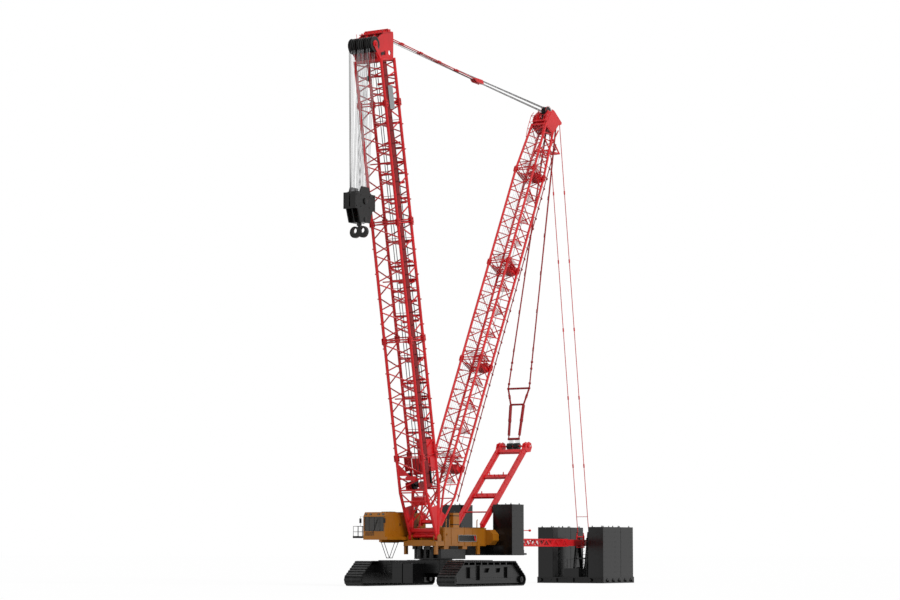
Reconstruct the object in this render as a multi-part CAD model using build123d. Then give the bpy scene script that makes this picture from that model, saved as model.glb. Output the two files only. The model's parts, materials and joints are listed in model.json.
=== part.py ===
from build123d import *
import os
from math import cos, hypot, radians, sin

# Crawler crane with lattice boom, back mast and trailing counterweight tray, as a 1:2 scale model.
# Millimetres of the model. +X is the front of the upper structure, +Y its left side, +Z up.
# The origin is where the slewing axis meets the ground.

os.makedirs("parts", exist_ok=True)

# ---------------------------------------------------------------- driving dimensions
SIDES = {"left": 1, "right": -1}

# clearances
PIN_GAP = 0.3           # between a pin and the eye that turns on it
SIDE_GAP = 8.0          # beside a piece that moves between two others
SLEW_GAP = 0.3          # between the two halves of the slewing ring

# tracks and carbody
TRACK_LENGTH = 6500.0
TRACK_GAUGE = 5220.0
TRACK_HEIGHT = 1190.0
SHOE_WIDTH = 990.0
SHOE_DEPTH = 70.0
END_RADIUS = 300.0      # track's outside over the end wheels
TOP_RADIUS = 160.0      # track's outside over the top guides
TOP_LENGTH = 4500.0     # flat run between the top guides' centres
TRACK_FRAME_WIDTH = 640.0
ROLLER_RADIUS = 90.0
ROLLER_COUNT = 13
ROLLER_PITCH = 370.0
CARBODY_TOP = 1225.0
RING_RADIUS = 800.0
RING_HEIGHT = 45.0

# upper structure
FRAME_BOTTOM = 1900.0
FRAME_TOP = 2780.0
FRAME_STEP = 2140.0     # lower top of the frame's nose, in front of the boom feet
FRAME_HALF = 860.0
GIRDER_WIDTH = 250.0
FRAME_FRONT = 1500.0
FRAME_REAR = -3200.0
NOSE_START = 640.0

# boom
BOOM_FOOT_X, BOOM_FOOT_Z = 1005.0, 2305.0
BOOM_LEAN = 11.0        # degrees forward of vertical
BOOM_HALF_WIDTH = 735.0
BOOM_HALF_DEPTH = 560.0
BOOM_CHORD = 74.0       # chord tube's radius
BOOM_BRACE = 33.0       # lacing tube's radius
BOOM_BASE_END = 3900.0
BOOM_INSERT = 5600.0
BOOM_INSERTS = 3
BOOM_PANELS = 8         # lacing tubes on one face of an insert
BOOM_HEAD_LATTICE = 2100.0
BOOM_TOP_START = BOOM_BASE_END + BOOM_INSERTS * BOOM_INSERT
BOOM_SHEAVE_U, BOOM_SHEAVE_V = BOOM_TOP_START + 2790.0, 780.0
BOOM_SHEAVE_RADIUS = 360.0
BOOM_STAY_U, BOOM_STAY_V = BOOM_TOP_START + 3270.0, -800.0

# mast
MAST_FOOT_X, MAST_FOOT_Z = 555.0, 2745.0
MAST_LEAN = -27.4
MAST_HALF_WIDTH = 555.0
MAST_HALF_DEPTH = 520.0
MAST_CHORD = 62.0
MAST_LEG = 50.0          # legs of the base, which pass inside the girders
MAST_BRACE = 27.0
MAST_BASE_END = 3500.0
MAST_INSERT = 5700.0
MAST_INSERTS = 3
MAST_PANELS = 10
MAST_HEAD_LATTICE = 2900.0
MAST_TOP_START = MAST_BASE_END + MAST_INSERTS * MAST_INSERT
MAST_SHEAVE_U, MAST_SHEAVE_V = MAST_TOP_START + 3850.0, 60.0
MAST_SHEAVE_RADIUS = 300.0

# rigging frame behind the mast
GANTRY_FOOT_X, GANTRY_FOOT_Z = -2970.0, FRAME_TOP + 100.0
GANTRY_TOP_X, GANTRY_TOP_Z = -7265.0, 6925.0
GANTRY_HALF = 765.0

# rear counterweight
REAR_WEIGHT_FRONT, REAR_WEIGHT_BACK = -3725.0, -4835.0
REAR_WEIGHT_INNER, REAR_WEIGHT_OUTER = 935.0, 2030.0
REAR_WEIGHT_BOTTOM, REAR_WEIGHT_TOP = 1540.0, 3935.0
SLAB_GAP = 6.0

# trailing counterweight
TRAY_FRONT, TRAY_REAR, TRAY_JOINT = -12975.0, -16210.0, -14850.0
TRAY_INNER, TRAY_OUTER = 1065.0, 1955.0
TRAY_BASE = 320.0
TRAY_TOP = 2910.0

PIN_RADIUS = 60.0


# ---------------------------------------------------------------- helpers
def box(x0, x1, y0, y1, z0, z1):
    """Box between two opposite corners."""
    size = Box(abs(x1 - x0), abs(y1 - y0), abs(z1 - z0))
    return Pos((x0 + x1) / 2, (y0 + y1) / 2, (z0 + z1) / 2) * size


def rod(a, b, radius):
    """Round bar from a to b."""
    a, b = Vector(a), Vector(b)
    return Solid.make_cylinder(radius, (b - a).length, Plane(origin=a, z_dir=(b - a)))


def bar(a, b, width, depth, up=(0, 1, 0)):
    """Rectangular bar from a to b: width along up, depth across it."""
    a, b = Vector(a), Vector(b)
    plane = Plane(origin=a, x_dir=Vector(up), z_dir=(b - a))
    return extrude(plane * Rectangle(width, depth), amount=(b - a).length)


def axle(x, z, radius, y0, y1):
    """Round bar along Y."""
    return rod((x, y0, z), (x, y1, z), radius)


def plate_xz(points, y0, y1):
    """Flat plate with an outline in XZ, between y0 and y1."""
    face = make_face(Polyline(*[(x, y0, z) for x, z in points], close=True))
    return extrude(face, amount=abs(y1 - y0), dir=(0, 1 if y1 > y0 else -1, 0))


def joined(solids):
    """One solid made of several that touch or cross."""
    solids = list(solids)
    return solids[0].fuse(*solids[1:])


def save(name, *shapes):
    """Writes a node's solids to its STEP file."""
    solids = [s for shape in shapes for s in shape.solids()]
    body = Compound(children=solids) if len(solids) > 1 else solids[0]
    body.label = name
    export_step(body, f"parts/{name}.step")


def track_outline(inset):
    """Closed outline round the end wheels and the top guides, in XZ."""
    end_x, end_z = TRACK_LENGTH / 2 - END_RADIUS, END_RADIUS
    top_x, top_z = TOP_LENGTH / 2, TRACK_HEIGHT - TOP_RADIUS
    rounds = [(end_x, end_z, END_RADIUS), (-end_x, end_z, END_RADIUS),
              (top_x, top_z, TOP_RADIUS), (-top_x, top_z, TOP_RADIUS)]
    circles = [edge for x, z, r in rounds for edge in (Pos(x, z) * Circle(r - inset)).edges()]
    return make_hull(circles)


def track_slab(inset, y0, y1):
    """Solid inside the track's outline."""
    plane = Plane(origin=(0, y0, 0), x_dir=(1, 0, 0), z_dir=(0, -1, 0))
    return extrude(plane * track_outline(inset), amount=-(y1 - y0))


# ---------------------------------------------------------------- undercarriage
def track(side):
    """Loop of shoes as one band."""
    y = side * TRACK_GAUGE / 2
    outer = track_slab(0, y - SHOE_WIDTH / 2, y + SHOE_WIDTH / 2)
    return outer - track_slab(SHOE_DEPTH, y - SHOE_WIDTH, y + SHOE_WIDTH)


WHEEL_WIDTH = 340.0
WHEEL_INSET = SHOE_DEPTH + 1.0
FRAME_INSET = SHOE_DEPTH + 60.0


def track_wheels(side):
    """End wheels and rollers, which lie in the loop."""
    y = side * TRACK_GAUGE / 2
    end_x = TRACK_LENGTH / 2 - END_RADIUS
    places = [(s * end_x, END_RADIUS, END_RADIUS - WHEEL_INSET, 110) for s in (1, -1)]
    for i in range(ROLLER_COUNT):
        x = (i - (ROLLER_COUNT - 1) / 2) * ROLLER_PITCH
        places.append((x, SHOE_DEPTH + ROLLER_RADIUS + PIN_GAP, ROLLER_RADIUS, 35))
    half, reach = WHEEL_WIDTH / 2, WHEEL_WIDTH / 2 + SIDE_GAP
    return [joined([axle(x, z, r, y - half, y + half), axle(x, z, shaft, y - reach, y + reach)])
            for x, z, r, shaft in places]


def track_frame(side):
    """Box girder between the wheels, with side plates that carry their axles."""
    y = side * TRACK_GAUGE / 2
    half = TRACK_FRAME_WIDTH / 2
    core = track_slab(FRAME_INSET, y - half, y + half)
    end_x = TRACK_LENGTH / 2 - END_RADIUS
    channel = WHEEL_WIDTH / 2 + SIDE_GAP
    for s in (1, -1):
        tip = TRACK_LENGTH / 2
        core -= box(s * (end_x - END_RADIUS), s * tip, y - channel, y + channel, 0, END_RADIUS * 2 + 60)
    roller_top = SHOE_DEPTH + 2 * ROLLER_RADIUS + 12
    core -= box(-end_x, end_x, y - channel, y + channel, 0, roller_top)
    core -= box(-TOP_LENGTH, TOP_LENGTH, y - SHOE_WIDTH, y + SHOE_WIDTH, FRAME_DECK, TRACK_HEIGHT)
    shapes = [core]
    outside = y + side * half
    for middle, length, low, high in FRAME_PANELS:
        shapes.append(box(middle - length, middle + length, outside - side * 20, outside + side * PANEL_PROUD, low, high))
    for s in (1, -1):
        for e in (1, -1):
            face = y + s * half
            shapes.append(axle(e * end_x, END_RADIUS, HUB_RADIUS, face - s * 60, face + s * PANEL_PROUD))
    axle_z = TRACK_HEIGHT - SHOE_DEPTH - TOP_ROLLER - PIN_GAP
    for i in range(TOP_ROLLERS):
        x = (i - (TOP_ROLLERS - 1) / 2) * TOP_LENGTH / (TOP_ROLLERS - 1)
        shapes.append(axle(x, axle_z, TOP_ROLLER, y - half, y + half))
        shapes.append(box(x - 40, x + 40, y - half, y + half, FRAME_DECK - 10, axle_z))
    frame = joined(shapes)
    for middle, low_half, high_half, low, high in PANEL_CUTS:
        cut = [(middle - low_half, low), (middle + low_half, low), (middle + high_half, high), (middle - high_half, high)]
        frame -= plate_xz(cut, outside - side * 5, outside + side * (PANEL_PROUD + 10))
    return frame


FRAME_DECK = 1000.0
TOP_ROLLER, TOP_ROLLERS = 55.0, 9
# panels on a track frame's faces: middle x, half length, bottom z, top z
FRAME_PANELS = [(-180, 1070, 290, 980), (1545, 215, 380, 900), (-1850, 250, 380, 900)]
# cut-outs in the middle panel: middle x, half length at the bottom and at the top, bottom z, top z
PANEL_CUTS = [(360, 200, 330, 640, 850), (-710, 160, 260, 640, 850)]
PANEL_PROUD = 110.0
HUB_RADIUS = 120.0


CROSSBEAM_X, CROSSBEAM_WIDTH = 1500.0, 760.0
CROSSBEAM_BOTTOM = 620.0
SHOE_CLEARANCE = 65.0   # from the shoes' inner ends to the deep part of a crossbeam
CARBODY_HALF = 1150.0
BODY_WEIGHT_FRONT = 2890.0


def carbody():
    """Centre box, two crossbeams that reach the track frames, and the lower half of the slewing ring."""
    reach = TRACK_GAUGE / 2 - TRACK_FRAME_WIDTH / 2
    step = TRACK_GAUGE / 2 - SHOE_WIDTH / 2 - SHOE_CLEARANCE
    shapes = [box(-CARBODY_HALF, CARBODY_HALF, -CARBODY_HALF, CARBODY_HALF, 420, CARBODY_TOP)]
    for s in (1, -1):
        x0 = s * CROSSBEAM_X - CROSSBEAM_WIDTH / 2
        shapes.append(box(x0, x0 + CROSSBEAM_WIDTH, -reach, reach, CROSSBEAM_BOTTOM, TRACK_HEIGHT - SHOE_DEPTH - 90))
        shapes.append(box(x0, x0 + CROSSBEAM_WIDTH, -step, step, CROSSBEAM_BOTTOM, CARBODY_TOP))
    shapes.append(Pos(0, 0, CARBODY_TOP + RING_HEIGHT / 2) * Cylinder(RING_RADIUS, RING_HEIGHT))
    return joined(shapes)


def carbody_weights():
    """Two blocks on the carbody's front and two on its rear."""
    blocks = []
    inner_x = CROSSBEAM_X + CROSSBEAM_WIDTH / 2
    for s in (1, -1):
        for side in (1, -1):
            blocks.append(box(s * inner_x, s * BODY_WEIGHT_FRONT, side * 25, side * 575, 160, 1065))
    return blocks


# ---------------------------------------------------------------- upper structure
TABLE_BOTTOM = CARBODY_TOP + RING_HEIGHT + SLEW_GAP
TABLE_TOP = 1750.0


def slew_table():
    """Turning flange with the box that carries the main frame, and the slewing gearboxes."""
    flange = Pos(0, 0, TABLE_BOTTOM + 25) * Cylinder(1040, 50)
    block = box(-1465, 720, -760, 760, TABLE_BOTTOM, TABLE_TOP)
    drives = [Pos(900, y, (TABLE_BOTTOM + 1830) / 2) * Cylinder(95, 1830 - TABLE_BOTTOM) for y in (-330, 0, 330)]
    return joined([flange, block] + drives)


def main_frame():
    """Two deep girders tied by cross members, with lugs for the boom and the mast."""
    outline = [(FRAME_REAR, FRAME_BOTTOM), (FRAME_FRONT, FRAME_BOTTOM), (FRAME_FRONT, FRAME_STEP),
               (NOSE_START, FRAME_STEP), (NOSE_START, FRAME_TOP), (FRAME_REAR, FRAME_TOP)]
    shapes = []
    for s in SIDES.values():
        shapes.append(plate_xz(outline, s * FRAME_HALF, s * (FRAME_HALF - GIRDER_WIDTH)))
        for x in (-1250, 400):
            shapes.append(box(x - 200, x + 200, s * FRAME_HALF, s * (FRAME_HALF - GIRDER_WIDTH), TABLE_TOP, FRAME_BOTTOM))
        for x in (1300, -2450):
            shapes.append(box(x - 110, x + 110, s * (FRAME_HALF + 40), s * (FRAME_HALF - 60), 1500, FRAME_BOTTOM + 200))
        for y0 in (LUG_INNER, LUG_OUTER):
            shapes.append(lug(BOOM_FOOT_X, BOOM_FOOT_Z, FRAME_STEP, 150, s * y0, s * (y0 + LUG_THICK)))
        for y0 in (MAST_LUG_INNER, MAST_LUG_OUTER):
            shapes.append(lug(MAST_FOOT_X, MAST_FOOT_Z, FRAME_STEP, 110, s * y0, s * (y0 + LUG_THICK)))
    inner = FRAME_HALF - GIRDER_WIDTH
    for x0, x1, z0, z1 in CROSS_MEMBERS:
        shapes.append(box(x0, x1, -inner, inner, z0, z1))
    for half, thick, x, z in ((BOOM_HALF_WIDTH, BOOM_EYE_HALF, BOOM_FOOT_X, BOOM_FOOT_Z),
                              (MAST_HALF_WIDTH, MAST_EYE_HALF, MAST_FOOT_X, MAST_FOOT_Z)):
        for s in SIDES.values():
            reach = thick + SIDE_GAP + LUG_THICK
            shapes.append(axle(x, z, PIN_RADIUS, s * half - reach, s * half + reach))
    return joined(shapes + end_bosses())


LUG_THICK = 40.0
BOOM_EYE_HALF = BOOM_CHORD + 10
LUG_INNER = BOOM_HALF_WIDTH - BOOM_EYE_HALF - SIDE_GAP - LUG_THICK
LUG_OUTER = BOOM_HALF_WIDTH + BOOM_EYE_HALF + SIDE_GAP
MAST_EYE_HALF = 52.0
MAST_LUG_INNER = MAST_HALF_WIDTH - MAST_EYE_HALF - SIDE_GAP - LUG_THICK
MAST_LUG_OUTER = MAST_HALF_WIDTH + MAST_EYE_HALF + SIDE_GAP
# cross members of the main frame: front x, rear x, bottom z, top z
CROSS_MEMBERS = [(1500, 1250, 1900, 2180), (500, 260, 1900, 2600), (-900, -1100, 1900, 2300),
                 (-2700, -3200, 1900, 2500)]


def lug(x, z, base, radius, y0, y1):
    """Ear plate with a round top and a straight foot down to base."""
    top = axle(x, z, radius, min(y0, y1), max(y0, y1))
    foot = box(x - radius, x + radius, y0, y1, base - 60, z)
    return joined([foot, top])



# cab and machinery house on the right
HOUSE_INNER, HOUSE_OUTER = -1030.0, -2265.0
HOUSE_BOTTOM, HOUSE_TOP = 2330.0, 3490.0
CAB_FRONT, CAB_BACK = 2850.0, 1760.0
HOUSE_BACK = -700.0
PLATFORM_THICK = 140.0
CAB_WALL = 40.0
DOOR_FRONT, DOOR_BACK = 2500.0, 1850.0
DOOR_BOTTOM, DOOR_TOP = 2420.0, 3330.0
DOOR_LAP = 40.0         # how far the door covers the wall round the doorway
DOOR_TRAVEL = 600.0
DOOR_RAIL_DEPTH = 60.0
BROW_DROP, BROW_RUN = 190.0, 130.0
FRONT_PANE = (HOUSE_OUTER + 90, HOUSE_INNER - 90, 2620, 3250)      # y, y, z, z
DOOR_PANE = (DOOR_BACK + 70, DOOR_FRONT - 70, 2760, DOOR_TOP - 70)   # x, x, z, z
GLASS = 10.0
PANE_INSET = 15.0
WALKWAY_OUTER = -2870.0


def side_platform():
    """Deck under the cab and the house, reaching in to the right girder."""
    top = HOUSE_BOTTOM
    deck = box(HOUSE_BACK, CAB_FRONT, -FRAME_HALF - 45, HOUSE_OUTER, top - PLATFORM_THICK, top)
    arms = [box(x - 90, x + 90, -FRAME_HALF, HOUSE_OUTER, top - PLATFORM_THICK - 110, top - PLATFORM_THICK + 10)
            for x in (-400, 500)]
    nose = box(500, CAB_FRONT - 60, -1250, -1400, top - PLATFORM_THICK - 110, top - PLATFORM_THICK + 10)
    return joined([deck, nose] + arms)


RAIL_RADIUS = 11.0
RAIL_HEIGHT = 520.0


def railing():
    """Walkway beside the cab with posts and two rails round its outer edge and front."""
    z0 = HOUSE_BOTTOM - 20
    y = WALKWAY_OUTER + 20
    posts_x = (1330, 1700, 2080, 2460, 2830)
    shapes = [rod((x, y, z0), (x, y, z0 + RAIL_HEIGHT), RAIL_RADIUS) for x in posts_x]
    shapes += [rod((2830, q, z0), (2830, q, z0 + RAIL_HEIGHT), RAIL_RADIUS) for q in (-2560, -2300)]
    for z in (z0 + RAIL_HEIGHT, z0 + RAIL_HEIGHT / 2):
        shapes.append(rod((1330, y, z), (2830, y, z), RAIL_RADIUS))
        shapes.append(rod((2830, y, z), (2830, -2300, z), RAIL_RADIUS))
    walk = box(1300, CAB_FRONT, HOUSE_OUTER, WALKWAY_OUTER, z0 - 40, z0)
    toe = box(1300, CAB_FRONT, WALKWAY_OUTER, WALKWAY_OUTER + 12, z0 - 40, z0 + 60)
    return joined(shapes + [walk, toe])


def cab_outline(inset):
    """Side view of the cab: sloped brow over an upright front."""
    x0, x1 = CAB_BACK + inset, CAB_FRONT - inset
    z0, z1 = HOUSE_BOTTOM + inset, HOUSE_TOP - inset
    return [(x0, z0), (x1, z0), (x1, z1 - BROW_DROP), (x1 - BROW_RUN, z1), (x0, z1)]


def cab_shell():
    """Hollow cab with its windows and doorway cut through."""
    shell = plate_xz(cab_outline(0), HOUSE_OUTER, HOUSE_INNER)
    shell -= plate_xz(cab_outline(CAB_WALL), HOUSE_OUTER + CAB_WALL, HOUSE_INNER - CAB_WALL)
    shell -= box(CAB_FRONT - 2 * CAB_WALL, CAB_FRONT + 10, *FRONT_PANE)
    shell -= box(DOOR_BACK + DOOR_LAP, DOOR_FRONT - DOOR_LAP, HOUSE_OUTER - 10, HOUSE_OUTER + 2 * CAB_WALL,
                 DOOR_BOTTOM + DOOR_LAP, DOOR_TOP - DOOR_LAP)
    return shell


def cab_panels():
    """The shell parted where its panels meet: floor, roof cap, and the four walls between them."""
    low, high = HOUSE_BOTTOM + CAB_WALL, HOUSE_TOP - BROW_DROP
    full_x, full_y = (CAB_BACK, CAB_FRONT), (HOUSE_OUTER, HOUSE_INNER)
    regions = {
        "cab_floor": box(*full_x, *full_y, HOUSE_BOTTOM, low),
        "cab_roof": box(*full_x, *full_y, high, HOUSE_TOP),
        "cab_front": box(CAB_FRONT - CAB_WALL, CAB_FRONT, *full_y, low, high),
        "cab_rear_wall": box(CAB_BACK, CAB_BACK + CAB_WALL, *full_y, low, high),
        "cab_left_wall": box(CAB_BACK + CAB_WALL, CAB_FRONT - CAB_WALL, HOUSE_INNER - CAB_WALL, HOUSE_INNER, low, high),
        "cab_right_wall": box(CAB_BACK + CAB_WALL, CAB_FRONT - CAB_WALL, HOUSE_OUTER, HOUSE_OUTER + CAB_WALL, low, high),
    }
    shell = cab_shell()
    panels = {name: shell & region for name, region in regions.items()}
    upper, lower = door_rails()
    panels["cab_roof"] = joined([panels["cab_roof"], upper])
    panels["cab_right_wall"] = joined([panels["cab_right_wall"], lower])
    return panels


def cab_glass():
    """Front pane, seated in the wall's thickness."""
    return box(CAB_FRONT - PANE_INSET - GLASS, CAB_FRONT - PANE_INSET, *FRONT_PANE)


def cab_door():
    """Sliding door that covers the doorway from outside, with its window cut."""
    outside = HOUSE_OUTER - 8
    leaf = box(DOOR_BACK, DOOR_FRONT, outside - 35, outside, DOOR_BOTTOM, DOOR_TOP)
    return leaf - box(*DOOR_PANE[:2], outside - 60, outside + 5, *DOOR_PANE[2:])


def door_rails():
    """Rails above and below the door that carry it."""
    y0, y1 = HOUSE_OUTER, HOUSE_OUTER - DOOR_RAIL_DEPTH
    x0, x1 = DOOR_BACK - DOOR_TRAVEL - 40, DOOR_FRONT + 40
    upper = box(x0, x1, y0, y1, DOOR_TOP + SIDE_GAP, DOOR_TOP + 50)
    lower = box(x0, x1, y0, y1, DOOR_BOTTOM - 50, DOOR_BOTTOM - PIN_GAP)
    return upper, lower


def cab_seat():
    """Operator's seat and console on the cab floor."""
    z = HOUSE_BOTTOM + CAB_WALL
    y = (HOUSE_INNER + HOUSE_OUTER) / 2
    seat = box(2080, 2320, y - 130, y + 130, z, z + 230)
    back = box(2060, 2120, y - 130, y + 130, z + 200, z + 620)
    desk = box(2560, 2700, y - 260, y + 260, z, z + 330)
    return [joined([seat, back]), desk]


TANK_FRONT, TANK_REAR = -230.0, -750.0
TANK_TOP = 3480.0


def power_house():
    """Closed machinery house behind the cab."""
    return box(HOUSE_BACK, CAB_BACK, HOUSE_OUTER, HOUSE_INNER, HOUSE_BOTTOM, HOUSE_TOP)


def deck_tank():
    """Tank on the left girder, clear of the mast's leg beside it."""
    inner = MAST_HALF_WIDTH + MAST_CHORD + SIDE_GAP
    return box(TANK_FRONT, TANK_REAR, inner, FRAME_HALF - 10, FRAME_TOP, TANK_TOP)


def access_frame():
    """Hanging step frame under the deck's inner edge."""
    y0 = -1325
    top = HOUSE_BOTTOM - PLATFORM_THICK - 110
    low = 1330.0
    corners = [((2720, top), (2260, low)), ((2260, low), (1780, low)), ((1780, low), (1260, top)), ((2020, low), (1560, top)),
               ((2020, low), (2480, top))]
    shapes = []
    for (xa, za), (xb, zb) in corners:
        shapes.append(rod((xa, y0, za), (xb, y0, zb), 16))
    shapes.append(box(1230, 2750, y0 - 25, y0 + 25, top - 30, top))
    return joined(shapes) - box(1000, 3000, y0 - 40, y0 + 40, top, top + 60)


# ---------------------------------------------------------------- rear counterweight
def grooved_stack(x0, x1, y0, y1, z0, z1, slabs):
    """Stack of slabs as one solid, with a groove at each slab's edge."""
    stack = box(x0, x1, y0, y1, z0, z1)
    step = (z1 - z0) / slabs
    core = box(x0 + 14 * (1 if x1 > x0 else -1), x1 - 14 * (1 if x1 > x0 else -1),
               y0 + 14 * (1 if y1 > y0 else -1), y1 - 14 * (1 if y1 > y0 else -1), z0, z1)
    for i in range(1, slabs):
        z = z0 + i * step
        stack -= box(x0 - 1, x1 + 1, y0 - 1, y1 + 1, z - 4, z + 4) - core
    return stack


def rear_weight(side):
    """Slab stack on one side of the rear carrier."""
    return grooved_stack(REAR_WEIGHT_FRONT, REAR_WEIGHT_BACK, side * REAR_WEIGHT_INNER, side * REAR_WEIGHT_OUTER,
                         REAR_WEIGHT_BOTTOM, REAR_WEIGHT_TOP, 8)


def weight_carrier():
    """Cross base under the stacks, and the stem that ties it to the main frame."""
    base = box(REAR_WEIGHT_FRONT + 20, REAR_WEIGHT_BACK - 20, -REAR_WEIGHT_OUTER, REAR_WEIGHT_OUTER, 1450, REAR_WEIGHT_BOTTOM)
    tail = box(REAR_WEIGHT_BACK, REAR_WEIGHT_BACK - 560, -500, 500, 1450, 1690)
    boss_end = FRAME_REAR - BOSS_LENGTH - SIDE_GAP
    stem = box(FRAME_REAR, REAR_WEIGHT_BACK, -STEM_HALF, STEM_HALF, 1450, 2500)
    yoke = box(boss_end, REAR_WEIGHT_BACK, -REAR_WEIGHT_INNER + 20, REAR_WEIGHT_INNER - 20, 1450, 2500)
    return joined([base, tail, stem, yoke])


def end_bosses():
    """Octagonal bosses on the girders' rear ends."""
    plane = Plane(origin=(FRAME_REAR + 60, 0, 0), x_dir=(0, 1, 0), z_dir=(-1, 0, 0))
    octagon = extrude(plane * RegularPolygon(BOSS_RADIUS, 8, rotation=22.5), amount=BOSS_LENGTH + 60)
    cap = extrude(plane * RegularPolygon(BOSS_RADIUS * 0.55, 8, rotation=22.5), amount=BOSS_LENGTH + 60)
    return [Pos(0, s * BOSS_Y, BOSS_Z) * part for s in (1, -1) for part in (octagon, cap)]


BOSS_Y, BOSS_Z, BOSS_RADIUS, BOSS_LENGTH = 920.0, 2325.0, 400.0, 490.0
STEM_HALF = BOSS_Y - BOSS_RADIUS - 20


# ---------------------------------------------------------------- lattice work
def corner(size0, size1, z0, z1, z, sx, sy):
    """Point on a chord's centre line at height z."""
    t = (z - z0) / (z1 - z0)
    return (sx * (size0[0] + (size1[0] - size0[0]) * t), sy * (size0[1] + (size1[1] - size0[1]) * t), z)


FACES = [((1, -1), (1, 1)), ((1, 1), (-1, 1)), ((-1, 1), (-1, -1)), ((-1, -1), (1, -1))]


END_INSET = 110.0       # from a section's end to its first cross tube
BRACE_SPREAD = 1.6      # half the distance between two lacing tubes at a chord, in their radii
BRACE_SEAT = 0.55       # how near the chord's axis a lacing tube starts, in chord radii
CHORD_SIDES = 12


def lacing(a, b, chord, brace, outward):
    """Six-sided lacing tube from chord to chord, seated in both walls, with a flat towards outward."""
    a, b = Vector(a), Vector(b)
    run = hypot(b.X - a.X, b.Y - a.Y)
    seat = (b - a) * (BRACE_SEAT * chord / run)
    plane = Plane(origin=a + seat, x_dir=Vector(outward), z_dir=b - a)
    return extrude(plane * RegularPolygon(brace, 6), amount=(b - a - seat * 2).length)


def chord_tube(a, b, radius, outward):
    """Chord with CHORD_SIDES flats, one of them towards outward."""
    a, b = Vector(a), Vector(b)
    plane = Plane(origin=a, x_dir=Vector(outward), z_dir=b - a)
    return extrude(plane * RegularPolygon(radius, CHORD_SIDES), amount=(b - a).length)


def lattice(z0, z1, size0, size1, panels, chord, brace, ends=True):
    """Four chords and zigzag lacing between heights z0 and z1. Sizes are half depth and half width."""
    def at(z, s):
        return corner(size0, size1, z0, z1, z, *s)
    shapes = [chord_tube(at(z0, s), at(z1, s), chord, (*s, 0)) for s in ((1, 1), (-1, 1), (-1, -1), (1, -1))]
    step = (z1 - z0 - 2 * END_INSET) / panels
    spread = BRACE_SPREAD * brace
    for a, b in FACES:
        outward = (a[0] + b[0], a[1] + b[1], 0)
        for i in range(panels):
            low, high = z0 + END_INSET + i * step + spread, z0 + END_INSET + (i + 1) * step - spread
            first, second = (a, b) if i % 2 == 0 else (b, a)
            shapes.append(lacing(at(low, first), at(high, second), chord, brace, outward))
        if ends:
            for z in (z0 + END_INSET - spread, z1 - END_INSET + spread):
                shapes.append(lacing(at(z, a), at(z, b), chord, brace, outward))
    section = joined(shapes)
    if size0 == size1:
        return section
    return section - box(-2000, 2000, -2000, 2000, z0 - 200, z0)


def base_bracing(low, high, chord, brace, sx):
    """Crossed tubes between a base section's legs, and the cross tube above them."""
    def mirrored(p):
        return (p[0], -p[1], p[2])
    pairs = ((low, mirrored(high)), (mirrored(low), high), (high, mirrored(high)))
    return [lacing(a, b, chord, brace, (sx, 0, 0)) for a, b in pairs]


# ---------------------------------------------------------------- boom
BOOM_SIZE = (BOOM_HALF_DEPTH, BOOM_HALF_WIDTH)
BOOM = Location((BOOM_FOOT_X, 0, BOOM_FOOT_Z), (0, BOOM_LEAN, 0))
BOOM_FULL = 2250.0


BASE_TUBES = (1810.0, 2910.0)
BASE_PANEL = (3150.0, BOOM_BASE_END - 60)       # plates on the sides of the base's upper end: low, high
BASE_GUSSET = [(-BOOM_HALF_WIDTH, 3060.0), (-90.0, 3060.0), (-BOOM_HALF_WIDTH, 3680.0)]
GUSSET_THICK = 28.0
WINCH_FRAME = (2330.0, 2720.0)                  # plates across the base that carry the rope guides: low, high
WINCH_FRAME_Y = 380.0


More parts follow.
